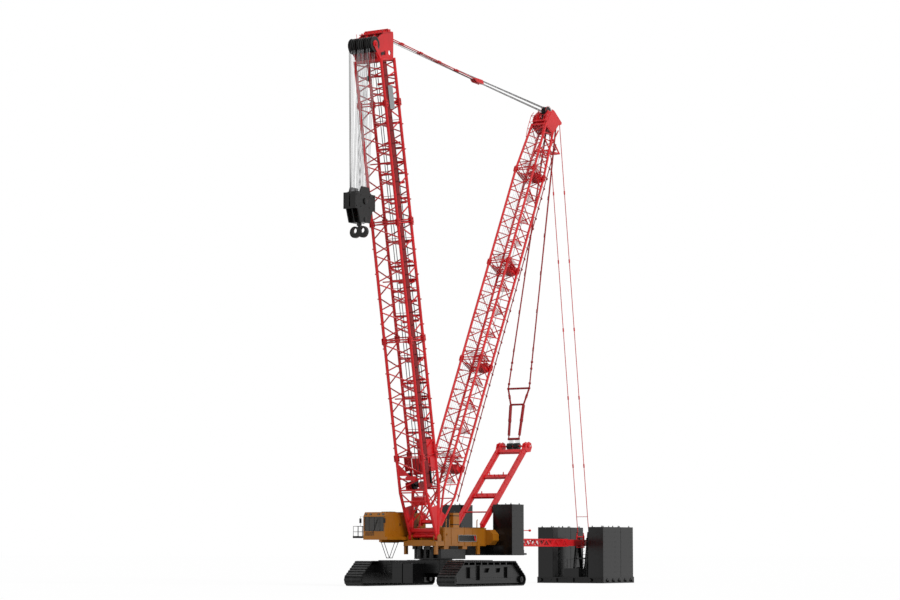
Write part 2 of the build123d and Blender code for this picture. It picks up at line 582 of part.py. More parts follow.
def boom_base():
    """Legs that run together at the foot eyes, then a full-depth lattice."""
    legs = []
    foot = (70.0, BOOM_HALF_WIDTH)
    for sy in (1, -1):
        legs.append(axle(0, 0, 150, sy * BOOM_HALF_WIDTH - BOOM_EYE_HALF, sy * BOOM_HALF_WIDTH + BOOM_EYE_HALF))
        for sx in (1, -1):
            legs.append(rod((sx * foot[0], sy * foot[1], 60), (sx * BOOM_SIZE[0], sy * BOOM_SIZE[1], BOOM_FULL), BOOM_CHORD))
        web = [(-95, 40), (95, 40), (430, 1500), (300, 1500), (-300, 1500), (-430, 1500)]
        legs.append(plate_xz(web, sy * (BOOM_HALF_WIDTH - 15), sy * (BOOM_HALF_WIDTH + 15)))
    legs.append(rod((0, -BOOM_HALF_WIDTH, 330), (0, BOOM_HALF_WIDTH, 330), 105))
    for u in BASE_TUBES:
        x, y, _ = corner(foot, BOOM_SIZE, 60, BOOM_FULL, min(u, BOOM_FULL), 1, 1)
        legs.append(lacing((x, -y, u), (x, y, u), BOOM_CHORD, BOOM_BRACE * 1.25, (1, 0, 0)))
    front = BOOM_SIZE[0]
    legs.append(box(front - 60, front + 130, -260, 270, BASE_TUBES[1] - 50, BASE_TUBES[1] + 130))
    gusset = Plane(origin=(front, 0, 0), x_dir=(0, 1, 0), z_dir=(1, 0, 0)) * make_face(Polyline(*BASE_GUSSET, close=True))
    legs.append(extrude(gusset, amount=GUSSET_THICK / 2, both=True))
    for sy in (1, -1):
        legs.append(box(-front, front, sy * WINCH_FRAME_Y - 15, sy * WINCH_FRAME_Y + 15, *WINCH_FRAME))
        for sx in (1, -1):
            legs.append(box(sx * front - 35, sx * front + 35, -BOOM_HALF_WIDTH, BOOM_HALF_WIDTH,
                            WINCH_FRAME[0], WINCH_FRAME[0] + 70))
        legs.append(box(-front, -60, sy * BOOM_HALF_WIDTH - 12, sy * BOOM_HALF_WIDTH + 12, *BASE_PANEL))
    low = 700.0
    for sx in (1, -1):
        at = [corner(foot, BOOM_SIZE, 60, BOOM_FULL, z, sx, 1) for z in (low, BOOM_FULL)]
        legs += base_bracing(*at, BOOM_CHORD, BOOM_BRACE, sx)
    upper = lattice(BOOM_FULL, BOOM_BASE_END, BOOM_SIZE, BOOM_SIZE, 2, BOOM_CHORD, BOOM_BRACE, ends=False)
    return joined(legs + [upper]) - axle(0, 0, PIN_RADIUS + PIN_GAP, -1000, 1000)


def boom_insert():
    """One straight boom section, from height 0, with the steps across its rear face."""
    section = lattice(0, BOOM_INSERT, BOOM_SIZE, BOOM_SIZE, BOOM_PANELS, BOOM_CHORD, BOOM_BRACE)
    return joined([section] + cross_steps(0, BOOM_INSERT, BOOM_SIZE))


STEP_PITCH = 1190.0
STEP_HEIGHT, STEP_THICK = 110.0, 36.0
STEP_RAIL = 14.0        # radius of the rod over a step
STEP_RAIL_RISE = 205.0
STEP_RAIL_PROUD = 90.0  # how far the rod passes the left chord


def cross_steps(z0, z1, size):
    """Steps between the two rear chords, each with a rod above it."""
    count = int((z1 - z0) / STEP_PITCH)
    margin = (z1 - z0 - (count - 1) * STEP_PITCH) / 2
    x, half = -size[0], size[1]
    shapes = []
    for i in range(count):
        z = z0 + margin + i * STEP_PITCH
        shapes.append(box(x - STEP_THICK / 2, x + STEP_THICK / 2, -half, half, z, z + STEP_HEIGHT))
        shapes.append(rod((x, -half, z + STEP_RAIL_RISE), (x, half + STEP_RAIL_PROUD, z + STEP_RAIL_RISE), STEP_RAIL))
    return shapes


HEAD_PLATES = (-620, -220, 220, 620)
HEAD_PLATE = 40.0
HEAD_DECK = (-690.0, 60.0)      # rear and front edge of the deck on the head plates
HEAD_TEETH = 7
HEAD_ARM_FOOT = 330.0
HEAD_HOLES = [(-380.0, 250.0, 110.0), (60.0, 250.0, 110.0)]
SHEAVE_AXLE = 60.0


def boom_head():
    """Last lattice section with the head plates, the sheave axle, and the stay lugs."""
    top = BOOM_TOP_START + BOOM_HEAD_LATTICE
    shapes = [lattice(BOOM_TOP_START, top, BOOM_SIZE, BOOM_SIZE, 4, BOOM_CHORD, BOOM_BRACE)]
    outline = [(-BOOM_HALF_DEPTH - 60, top - 150), (BOOM_HALF_DEPTH + 40, top - 150),
               (BOOM_SHEAVE_V + 110, BOOM_SHEAVE_U - 60), (BOOM_SHEAVE_V + 60, BOOM_SHEAVE_U + 110),
               (-100, BOOM_STAY_U + 60), (BOOM_STAY_V - 60, BOOM_STAY_U + 60), (BOOM_STAY_V - 60, BOOM_STAY_U - 110)]
    for y in HEAD_PLATES:
        shapes.append(plate_xz(outline, y - HEAD_PLATE / 2, y + HEAD_PLATE / 2))
    for x, z, r in ((BOOM_SHEAVE_V, BOOM_SHEAVE_U, SHEAVE_AXLE), (BOOM_STAY_V, BOOM_STAY_U, 35)):
        shapes.append(axle(x, z, r, HEAD_PLATES[0], HEAD_PLATES[-1]))
    for sx in (1, -1):
        shapes.append(box(sx * BOOM_HALF_DEPTH - 60, sx * BOOM_HALF_DEPTH + 60, -BOOM_HALF_WIDTH, BOOM_HALF_WIDTH,
                          top - 120, top))
    shapes.append(box(-420, -120, HEAD_PLATES[0], HEAD_PLATES[-1], top + 500, top + 640))
    deck = BOOM_STAY_U + 60
    shapes.append(box(*HEAD_DECK, HEAD_PLATES[0] - 60, HEAD_PLATES[-1] + 60, deck - 30, deck + 12))
    for i in range(HEAD_TEETH):
        y = HEAD_PLATES[0] + (HEAD_PLATES[-1] - HEAD_PLATES[0]) * i / (HEAD_TEETH - 1)
        shapes.append(box(HEAD_DECK[0] + 60, HEAD_DECK[0] + 260, y - 38, y + 38, deck, deck + 120))
    for s in (1, -1):
        side = s * (HEAD_PLATES[-1] + HEAD_PLATE / 2)
        arm = [(BOOM_SHEAVE_V - 90, BOOM_SHEAVE_U + 150), (BOOM_SHEAVE_V - 120, BOOM_SHEAVE_U - 120),
               (HEAD_ARM_FOOT, top - 120), (HEAD_ARM_FOOT + 150, top - 120), (BOOM_SHEAVE_V + 150, BOOM_SHEAVE_U - 60)]
        shapes.append(plate_xz(arm, side, side + s * 45))
        shapes.append(axle(BOOM_SHEAVE_V, BOOM_SHEAVE_U, 175, side, side + s * 45))
        shapes.append(axle(BOOM_SHEAVE_V, BOOM_SHEAVE_U, 90, side, side + s * 80))
    head = joined(shapes)
    for x, z, r in HEAD_HOLES:
        head -= axle(x, top + z, r, HEAD_PLATES[0] - 200, HEAD_PLATES[-1] + 200)
    return head


# packs of head sheaves: lowest y, highest y
BOOM_PACKS = [(-592, -272), (-188, 188), (272, 592)]


def sheave_pack(x, z, radius, y0, y1, bore, grooves):
    """Sheaves side by side as one ring with rope grooves."""
    pack = axle(x, z, radius, y0, y1)
    pitch = (y1 - y0) / grooves
    depth = 0.12 * radius
    for i in range(grooves):
        y = y0 + (i + 0.5) * pitch
        ring = axle(x, z, radius + 5, y - 0.32 * pitch, y + 0.32 * pitch)
        pack -= ring - axle(x, z, radius - depth, y - pitch, y + pitch)
    return pack - axle(x, z, bore + PIN_GAP, y0 - 5, y1 + 5)


def boom_sheaves():
    """Three packs on the head's axle."""
    return [sheave_pack(BOOM_SHEAVE_V, BOOM_SHEAVE_U, BOOM_SHEAVE_RADIUS, y0, y1, SHEAVE_AXLE, 3) for y0, y1 in BOOM_PACKS]


def at_boom(u, v):
    """World x and z of a point on the boom: u along it, v forward."""
    a = radians(BOOM_LEAN)
    return BOOM_FOOT_X + u * sin(a) + v * cos(a), BOOM_FOOT_Z + u * cos(a) - v * sin(a)


def at_mast(u, v):
    """World x and z of a point on the mast: u along it, v forward."""
    a = radians(MAST_LEAN)
    return MAST_FOOT_X + u * sin(a) + v * cos(a), MAST_FOOT_Z + u * cos(a) - v * sin(a)


# ---------------------------------------------------------------- hook
HANG_X, HANG_Z = at_boom(BOOM_SHEAVE_U, BOOM_SHEAVE_V)
LIMIT_Y = 255.0


def limit_weight():
    """Hoist limit weight on its line, which hangs from the sheave axle."""
    eye = axle(HANG_X, HANG_Z, 92, LIMIT_Y - 8, LIMIT_Y + 8) - axle(HANG_X, HANG_Z, SHEAVE_AXLE + PIN_GAP, 0, 500)
    line = rod((HANG_X, LIMIT_Y, HANG_Z - 80), (HANG_X, LIMIT_Y, HANG_Z - 1500), 7)
    weight = rod((HANG_X, LIMIT_Y, HANG_Z - 1480), (HANG_X, LIMIT_Y, HANG_Z - 1700), 55)
    return joined([eye, line, weight])


HOOK_AHEAD = 320.0       # from the head sheaves' axle to the hook
HOOK_X = HANG_X + HOOK_AHEAD
BLOCK_TOP, BLOCK_BOTTOM = 18470.0, 16800.0
BLOCK_HALF_Y = 340.0
CHEEK_THICK = 55.0
SHOULDER_LOW, SHOULDER_TOP = 17400.0, 18160.0
SHOULDER_HALF = 810.0   # half length of the cheeks' wide part
WAIST_HALF, FOOT_HALF, CROWN_HALF = 600.0, 390.0, 300.0
BLOCK_SHEAVE_Z = 17800.0
BLOCK_SHEAVE_RADIUS = 400.0
BLOCK_PACKS = [(-262, -28), (28, 262)]
HOOK_STEM = 70.0
HOOK_TIP = 16110.0
HORN_Y, HORN_RADIUS, BOWL_RADIUS, BOWL_RISE = 215.0, 270.0, 120.0, 70.0
HOOK_THICK = 150.0


def hook_block():
    """Cheeks with wide shoulders, the plate between the sheave packs, the axle, and the trunnion over the hook."""
    lower = [(-WAIST_HALF, SHOULDER_LOW), (-FOOT_HALF, BLOCK_BOTTOM), (FOOT_HALF, BLOCK_BOTTOM), (WAIST_HALF, SHOULDER_LOW)]
    cheek = lower + [(SHOULDER_HALF, SHOULDER_LOW), (SHOULDER_HALF, SHOULDER_TOP), (CROWN_HALF + 130, SHOULDER_TOP),
                     (CROWN_HALF, BLOCK_TOP), (-CROWN_HALF, BLOCK_TOP), (-CROWN_HALF - 130, SHOULDER_TOP),
                     (-SHOULDER_HALF, SHOULDER_TOP), (-SHOULDER_HALF, SHOULDER_LOW)]
    middle = lower + [(WAIST_HALF - 100, SHOULDER_TOP), (-WAIST_HALF + 100, SHOULDER_TOP)]
    shapes = [plate_xz(middle, -20, 20)]
    for s in (1, -1):
        shapes.append(plate_xz(cheek, s * BLOCK_HALF_Y, s * (BLOCK_HALF_Y - CHEEK_THICK)))
        for z in (SHOULDER_LOW, SHOULDER_TOP - 90):
            shapes.append(box(s * (SHOULDER_HALF - 130), s * (SHOULDER_HALF - 20), -BLOCK_HALF_Y, BLOCK_HALF_Y, z, z + 90))
    shapes.append(box(-200, 200, -BLOCK_HALF_Y, BLOCK_HALF_Y, BLOCK_BOTTOM, BLOCK_BOTTOM + 260))
    shapes.append(axle(0, BLOCK_SHEAVE_Z, SHEAVE_AXLE, -BLOCK_HALF_Y - 30, BLOCK_HALF_Y + 30))
    block = joined(shapes) - rod((0, 0, BLOCK_BOTTOM - 5), (0, 0, BLOCK_BOTTOM + 150), HOOK_STEM + PIN_GAP)
    return Pos(HOOK_X, 0, 0) * block


def hook_sheaves():
    """Two packs on the block's axle."""
    return [sheave_pack(HOOK_X, BLOCK_SHEAVE_Z, BLOCK_SHEAVE_RADIUS, y0, y1, SHEAVE_AXLE, 4) for y0, y1 in BLOCK_PACKS]


def hook():
    """Double hook on its stem, each bowl closed by its latch."""
    z = HOOK_TIP + HORN_RADIUS
    stem = rod((HOOK_X, 0, z), (HOOK_X, 0, BLOCK_BOTTOM + 145), HOOK_STEM)
    shapes = [stem, Pos(HOOK_X, 0, BLOCK_BOTTOM - 75) * Cylinder(HOOK_STEM + 45, 110)]
    plane = Plane(origin=(HOOK_X, 0, z), x_dir=(0, 1, 0), z_dir=(1, 0, 0))
    for s in (1, -1):
        horn = Pos(s * HORN_Y, 0) * Circle(HORN_RADIUS) - Pos(s * HORN_Y, BOWL_RISE) * Circle(BOWL_RADIUS)
        shapes.append(extrude(plane * horn, amount=HOOK_THICK / 2, both=True))
    notches = [box(HOOK_X - HOOK_THICK, HOOK_X + HOOK_THICK, s * (HORN_Y + 15), s * (HORN_Y - 15), z + BOWL_RISE, z + 400)
               for s in (1, -1)]
    return joined(shapes) - notches


# ---------------------------------------------------------------- mast
MAST_SIZE = (MAST_HALF_DEPTH, MAST_HALF_WIDTH)
MAST = Location((MAST_FOOT_X, 0, MAST_FOOT_Z), (0, MAST_LEAN, 0))
MAST_FULL = 1900.0


def mast_base():
    """Legs that run together at the foot eyes, then a full-depth lattice."""
    legs = []
    foot = (55.0, MAST_HALF_WIDTH)
    for sy in (1, -1):
        legs.append(axle(0, 0, 110, sy * MAST_HALF_WIDTH - MAST_EYE_HALF, sy * MAST_HALF_WIDTH + MAST_EYE_HALF))
        for sx in (1, -1):
            legs.append(rod((sx * foot[0], sy * foot[1], 45), (sx * MAST_SIZE[0], sy * MAST_SIZE[1], MAST_FULL), MAST_LEG))
        web = [(-70, 30), (70, 30), (250, 800), (-250, 800)]
        legs.append(plate_xz(web, sy * (MAST_HALF_WIDTH - 12), sy * (MAST_HALF_WIDTH + 12)))
    legs.append(box(-70, 70, -MAST_HALF_WIDTH, MAST_HALF_WIDTH, 260, 420))
    for sx in (1, -1):
        at = [corner(foot, MAST_SIZE, 45, MAST_FULL, z, sx, 1) for z in (600, MAST_FULL)]
        legs += base_bracing(*at, MAST_CHORD, MAST_BRACE, sx)
    upper = lattice(MAST_FULL, MAST_BASE_END, MAST_SIZE, MAST_SIZE, 2, MAST_CHORD, MAST_BRACE, ends=False)
    return joined(legs + [upper]) - axle(0, 0, PIN_RADIUS + PIN_GAP, -1000, 1000)


def mast_insert():
    """One straight mast section, from height 0."""
    return lattice(0, MAST_INSERT, MAST_SIZE, MAST_SIZE, MAST_PANELS, MAST_CHORD, MAST_BRACE)


MAST_HEAD_DEPTH, MAST_HEAD_HALF = 400.0, 420.0     # half depth and half width at the lattice's top
MAST_PLATES = (-420, -150, 150, 420)
COMB_REAR, COMB_FRONT, COMB_HALF = 190.0, 470.0, 420.0
COMB_PLATES, COMB_PITCH = 3, 90.0
TAIL_ARM_V, TAIL_ARM_RISE, TAIL_ARM_Y = -1740.0, -440.0, 215.0
MAST_PLATE = 30.0
MAST_AXLE = 45.0
STAY_U, STAY_V = MAST_TOP_START + 3600.0, -640.0
TAIL_U, TAIL_V = MAST_TOP_START + 3790.0, -880.0


def mast_head():
    """Last mast section with the head plates, the sheave axle and the lugs of both rear stays."""
    top = MAST_TOP_START + MAST_HEAD_LATTICE
    shapes = [lattice(MAST_TOP_START, top, MAST_SIZE, (MAST_HEAD_DEPTH, MAST_HEAD_HALF), 5, MAST_CHORD, MAST_BRACE)]
    outline = [(-430, top - 150), (430, top - 150), (200, MAST_SHEAVE_U + 60), (0, MAST_SHEAVE_U + 110),
               (TAIL_V - 50, TAIL_U + 60), (TAIL_V - 50, TAIL_U - 60), (STAY_V - 60, STAY_U - 90)]
    for y in MAST_PLATES:
        shapes.append(plate_xz(outline, y - MAST_PLATE / 2, y + MAST_PLATE / 2))
    shapes.append(axle(MAST_SHEAVE_V, MAST_SHEAVE_U, MAST_AXLE, MAST_PLATES[0], MAST_PLATES[-1]))
    shapes.append(axle(STAY_V, STAY_U, 30, MAST_PLATES[0], MAST_PLATES[-1]))
    shapes.append(axle(TAIL_V, TAIL_U, 30, MAST_PLATES[0], MAST_PLATES[-1]))
    for sx in (1, -1):
        shapes.append(box(sx * 400 - 50, sx * 400 + 50, -420, 420, top - 100, top))
    shapes.append(box(COMB_REAR, COMB_FRONT, -COMB_HALF, COMB_HALF, top + 130, top + 200))
    for i in range(COMB_PLATES):
        for s in (1, -1):
            y = s * (COMB_HALF - 15 - i * COMB_PITCH)
            comb = [(COMB_REAR, top + 150), (COMB_FRONT, top + 150), (COMB_FRONT, top + 480), (COMB_REAR + 90, top + 850),
                    (COMB_REAR, top + 850)]
            shapes.append(plate_xz(comb, y - 15, y + 15))
    shapes += tail_arm(top)
    return joined(shapes)


def tail_arm(top):
    """Triangular arm behind the mast head that the pendants to the tray run past."""
    shapes = []
    for s in (1, -1):
        y = s * TAIL_ARM_Y
        tip = (TAIL_ARM_V, y, top + TAIL_ARM_RISE)
        for z in (top - 50, top - 1150):
            root = -MAST_HEAD_DEPTH - (MAST_HALF_DEPTH - MAST_HEAD_DEPTH) * (top - z) / MAST_HEAD_LATTICE
            shapes.append(bar((root, y, z), tip, 40, 80))
            shapes.append(box(root - 35, root + 35, -MAST_HEAD_HALF, MAST_HEAD_HALF, z - 40, z + 40))
    shapes.append(rod((TAIL_ARM_V, -TAIL_ARM_Y - 30, top + TAIL_ARM_RISE), (TAIL_ARM_V, TAIL_ARM_Y + 30, top + TAIL_ARM_RISE), 45))
    return shapes


MAST_PACKS = [(-125, 125)]


def mast_sheaves():
    """Pack on the mast head's axle."""
    return [sheave_pack(MAST_SHEAVE_V, MAST_SHEAVE_U, MAST_SHEAVE_RADIUS, y0, y1, MAST_AXLE, 3) for y0, y1 in MAST_PACKS]


# ---------------------------------------------------------------- stays
def between(a, b, share):
    """Point a share of the way from a to b."""
    return tuple(p + (q - p) * share for p, q in zip(a, b))


JOINT_LENGTH = 190.0


def pendant(a, b, radius, joints):
    """Pendant bar from a to b with evenly spaced link joints."""
    length = hypot(*(q - p for p, q in zip(a, b)))
    half = JOINT_LENGTH / 2 / length
    shapes = [rod(a, b, radius)]
    for i in range(1, joints + 1):
        middle = i / (joints + 1)
        shapes.append(rod(between(a, b, middle - half), between(a, b, middle + half), radius * 1.9))
    return shapes


def spreader_link(a, b):
    """Flat link that is wide between its slim ends."""
    inner, outer = between(a, b, 0.18), between(a, b, 0.9)
    return [rod(a, b, 32), bar(inner, outer, 70, 150), bar(between(a, b, 0.42), between(a, b, 0.5), 84, 190)]


BOOM_STAY_Y = 80.0              # half distance between the two pendants
PULLEY_BLOCK = (-3780.0, 25090.0)       # x and z of the pulley block over the machine
PULLEY_CHEEKS = (-150, -15, 120)


def boom_stay():
    """Close pair of pendants from the boom head to the pulley block over the machine."""
    x0, z0 = at_boom(BOOM_STAY_U, BOOM_STAY_V)
    x1, z1 = PULLEY_BLOCK
    shapes = []
    for s in SIDES.values():
        y = s * BOOM_STAY_Y
        shapes.append(axle(x0, z0, 75, y - 18, y + 18) - axle(x0, z0, 35 + PIN_GAP, y - 50, y + 50))
        shapes += pendant((x0 - 70, y, z0 - 5), (x1 + 300, y, z1 + 45), 26, 4)
    for y in PULLEY_CHEEKS:
        cheek = [(x1 - 430, z1 - 120), (x1 + 250, z1 - 90), (x1 + 400, z1 + 20), (x1 + 370, z1 + 100), (x1 - 330, z1 + 80)]
        shapes.append(plate_xz(cheek, y, y + 30))
    shapes.append(axle(x1 - 190, z1 - 15, 90, PULLEY_CHEEKS[0], -PULLEY_CHEEKS[0]))
    shapes.append(axle(x1 + 290, z1 + 45, 40, PULLEY_CHEEKS[0], -PULLEY_CHEEKS[0]))
    return joined(shapes)


# spreader's upper bar, its lower bar and the end pin, from the rigging frame's sheave axle: x, z
SPREADER = [(-515.0, 2955.0), (-355.0, 2130.0), (-10.0, 375.0)]


def mast_stay():
    """Pendants from the mast head to the spreader, and the lower pulley cheeks."""
    x0, z0 = at_mast(STAY_U, STAY_V)
    top, low, end = [(GANTRY_TOP_X + x, GANTRY_TOP_Z + z) for x, z in SPREADER]
    shapes = [axle(*top, 35, -655, 655), axle(*low, 35, -420, 420)]
    for s in SIDES.values():
        shapes.append(axle(x0, z0, 65, s * 280 - 15, s * 280 + 15) - axle(x0, z0, 30 + PIN_GAP, s * 280 - 50, s * 280 + 50))
        shapes += pendant((x0 + 8, s * 280, z0 - 55), (top[0], s * 620, top[1]), 24, 6)
        shapes.append(axle(*top, 62, s * 655, s * 585))
        shapes += pendant((top[0], s * 620, top[1]), (low[0], s * 380, low[1]), 32, 1)
        shapes += spreader_link((low[0], s * 380, low[1]), (end[0], s * 300, end[1]))
    shapes.append(axle(*end, 60, -330, 330))
    return joined(shapes)


def tail_stay():
    """Pendants from the mast head to the trailing counterweight."""
    x0, z0 = at_mast(TAIL_U, TAIL_V)
    x1, z1 = TAIL_LOW
    shapes = []
    for s in SIDES.values():
        shapes.append(axle(x0, z0, 65, s * TAIL_Y - 15, s * TAIL_Y + 15) - axle(x0, z0, 30 + PIN_GAP, s * TAIL_Y - 50, s * TAIL_Y + 50))
        shapes += pendant((x0 - 5, s * TAIL_Y, z0 - 55), (x1, s * TAIL_Y, z1), 20, 5)
        shapes.append(axle(x1, z1, 60, s * TAIL_Y - 25, s * TAIL_Y + 25))
    shapes.append(axle(x1 + (x0 - x1) * 900 / (z0 - z1), z1 + 900, 15, -TAIL_Y, TAIL_Y))
    return joined(shapes)


TAIL_LOW = (-14350.0, 2560.0)
TAIL_Y = 330.0


# ---------------------------------------------------------------- rigging frame
GANTRY_LEG = (170.0, 260.0)     # across, deep
# outline of the head plates and their hole, from the sheave axle: x, z
GANTRY_HEAD = [(-330, -60), (-200, -290), (150, -330), (330, -190), (230, 120), (-40, 215), (-260, 150)]
GANTRY_HOLE = (-205.0, 10.0, 62.0)


def gantry():
    """Inclined rigging frame: two box legs, cross members and the sheave axle."""
    foot, top = (GANTRY_FOOT_X, GANTRY_FOOT_Z), (GANTRY_TOP_X, GANTRY_TOP_Z)
    def at(t):
        return foot[0] + (top[0] - foot[0]) * t, foot[1] + (top[1] - foot[1]) * t
    shapes = []
    for s in SIDES.values():
        shapes.append(bar((foot[0], s * GANTRY_HALF, foot[1]), (top[0], s * GANTRY_HALF, top[1]), *GANTRY_LEG))
        shapes.append(lug(foot[0], foot[1], FRAME_TOP + 60, 95, s * GANTRY_HALF - 50, s * GANTRY_HALF + 50))
        outline = [(top[0] + x, top[1] + z) for x, z in GANTRY_HEAD]
        side = s * (GANTRY_HALF + GANTRY_LEG[0] / 2)
        shapes.append(plate_xz(outline, side - s * 20, side + s * 25))
        shapes.append(plate_xz(outline, side - s * GANTRY_LEG[0] - s * 25, side - s * GANTRY_LEG[0] + s * 20))
        shapes.append(axle(top[0], top[1], 110, side - s * GANTRY_LEG[0] - s * 45, side + s * 45))
    for t, depth, height in ((0.17, 50, 50), (0.37, 120, 270), (0.61, 120, 220), (0.93, 150, 200)):
        x, z = at(t)
        shapes.append(bar((x, -GANTRY_HALF, z), (x, GANTRY_HALF, z), height, depth,
                          up=(top[0] - foot[0], 0, top[1] - foot[1])))
    for t, y in ((0.37, -250), (0.61, -420), (0.61, 380)):
        x, z = at(t)
        shapes.append(plate_xz([(x - 40, z), (x + 40, z), (x + 10, z + 240), (x - 20, z + 240)], y, y + 40))
    shapes.append(axle(*at(1.0), MAST_AXLE, -GANTRY_HALF, GANTRY_HALF))
    frame = joined(shapes)
    hole_x, hole_z, hole = GANTRY_HOLE
    return frame - axle(top[0] + hole_x, top[1] + hole_z, hole, -2 * GANTRY_HALF, 2 * GANTRY_HALF)


def gantry_sheaves():
    """Packs between the legs at the frame's top."""
    return [sheave_pack(GANTRY_TOP_X, GANTRY_TOP_Z, 170, y0, y1, MAST_AXLE, 3) for y0, y1 in ((-330, -60), (60, 330))]


# ---------------------------------------------------------------- winches on the deck
# drums between the girders: name, x, z, radius
DRUMS = [("hoist_drum", -1750, 2560, 270), ("luffing_drum", -2300, 2560, 240)]


def drum(x, z, radius):
    """Winch drum with flanges and a rope layer, on its shaft."""
    half = FRAME_HALF - GIRDER_WIDTH - SIDE_GAP - 90
    core = axle(x, z, radius * 0.78, -half, half)
    flanges = [axle(x, z, radius, s * half, s * (half - 40)) for s in (1, -1)]
    return joined([core] + flanges) - axle(x, z, SHEAVE_AXLE + PIN_GAP, -half - 5, half + 5)


def drum_shafts():
    """Shafts that carry the drums between the girders."""
    reach = FRAME_HALF - GIRDER_WIDTH + 20
    return [axle(x, z, SHEAVE_AXLE, -reach, reach) for _, x, z, _ in DRUMS]


# ---------------------------------------------------------------- trailing counterweight and its beam
BEAM_HALF, BEAM_BOTTOM, BEAM_TOP = 130.0, 1890.0, 2290.0
BEAM_WALL = 25.0
BEAM_END = -12500.0
BEAM_GAP = 8.0


def guide_beam():
    """Outer tube of the guide beam, fixed to the carrier."""
    outer = box(REAR_WEIGHT_BACK, BEAM_END, -BEAM_HALF, BEAM_HALF, BEAM_BOTTOM, BEAM_TOP)
    inner = box(REAR_WEIGHT_BACK - 300, BEAM_END - 10, -BEAM_HALF + BEAM_WALL, BEAM_HALF - BEAM_WALL,
                BEAM_BOTTOM + BEAM_WALL, BEAM_TOP - BEAM_WALL)
    beam = outer - inner
    count = int((REAR_WEIGHT_BACK - BEAM_END) / TRUSS_PITCH)
    start = (REAR_WEIGHT_BACK + BEAM_END + count * TRUSS_PITCH) / 2
    low, high = BEAM_BOTTOM + TRUSS_CHORD, BEAM_TOP - TRUSS_CHORD
    for i in range(count):
        x0, x1 = start - i * TRUSS_PITCH - TRUSS_WEB, start - (i + 1) * TRUSS_PITCH + TRUSS_WEB
        base, tip = (low, high) if i % 2 else (high, low)
        beam -= plate_xz([(x0, base), (x1, base), ((x0 + x1) / 2, tip)], -BEAM_HALF - 10, BEAM_HALF + 10)
    return beam


TRUSS_PITCH, TRUSS_CHORD, TRUSS_WEB = 460.0, 75.0, -60.0    # the triangles' bases run past each other's by TRUSS_WEB


def beam_slide():
    """Inner beam that draws out with the tray."""
    inset, shoe = BEAM_WALL + BEAM_GAP, BEAM_WALL + PIN_GAP
    run = box(-10800, -15300, -BEAM_HALF + inset, BEAM_HALF - inset, BEAM_BOTTOM + inset, BEAM_TOP - inset)
    pad = box(-10800, -11000, -BEAM_HALF + shoe, BEAM_HALF - shoe, BEAM_BOTTOM + shoe, BEAM_TOP - shoe)
    return joined([run, pad])


def tray_base():
    """Tray on the ground with the centre post that holds the beam and the pendants' lugs."""
    slab = box(TRAY_FRONT + 40, TRAY_REAR - 40, -TRAY_OUTER - 30, TRAY_OUTER + 30, 0, TRAY_BASE)
    shapes = [slab]
    inset = BEAM_WALL + BEAM_GAP
    post = box(-15100, -15500, -260, 260, TRAY_BASE, BEAM_TOP + 60)
    shapes.append(post)
    base = joined(shapes) - box(-10800, -15300, -BEAM_HALF + inset, BEAM_HALF - inset, BEAM_BOTTOM + inset, BEAM_TOP - inset)
    count = int((TRAY_FRONT - TRAY_REAR) / NOTCH_PITCH)
    start = (TRAY_FRONT + TRAY_REAR + (count - 1) * NOTCH_PITCH) / 2
    for i in range(count):
        x = start - i * NOTCH_PITCH
        for s in (1, -1):
            side = s * (TRAY_OUTER + 30)
            notch = [(x - NOTCH_HALF, 60), (x + NOTCH_HALF, 60), (x, TRAY_BASE - 50)]
            base -= plate_xz(notch, side - s * NOTCH_DEEP, side + s * 10)
    for y in (-1500, -500, 500, 1500):
        front = TRAY_FRONT + 40
        base -= box(front - NOTCH_DEEP, front + 10, y - 330, y + 330, 60, TRAY_BASE - 60)
    return base


NOTCH_PITCH, NOTCH_HALF, NOTCH_DEEP = 640.0, 240.0, 90.0


def tray_centre():
    """Low block between the stacks, with the ears that take the pendants' ends."""
    block = grooved_stack(TRAY_FRONT - 60, -15090, -455, 455, TRAY_BASE, 765, 2)
    shapes = [block]
    for s in SIDES.values():
        for y in (s * TAIL_Y - 35 - SIDE_GAP - 15, s * TAIL_Y + 25 + SIDE_GAP):
            ear = plate_xz([(-14800, 700), (-13900, 700), (-14290, 2660), (-14410, 2660)], y, y + 25)
            ear -= plate_xz([(-14640, 820), (-14060, 820), (-14240, 1560), (-14460, 1560)], y - 5, y + 30)
            ear -= plate_xz([(-14430, 1700), (-14270, 1700), (-14320, 2350), (-14380, 2350)], y - 5, y + 30)
            shapes.append(ear)
    for x, z in ((-14100, 1280), (-14640, 1280)):
        shapes.append(box(x - 35, x + 35, -430, 430, z - 30, z + 30))
    return joined(shapes)


def tray_weight(side):
    """Front and rear slab stacks on one side."""
    joint = 8.0
    return [grooved_stack(x0, x1, side * TRAY_INNER, side * TRAY_OUTER, TRAY_BASE, TRAY_TOP, 10)
            for x0, x1 in ((TRAY_FRONT, TRAY_JOINT + joint / 2), (TRAY_JOINT - joint / 2, TRAY_REAR))]


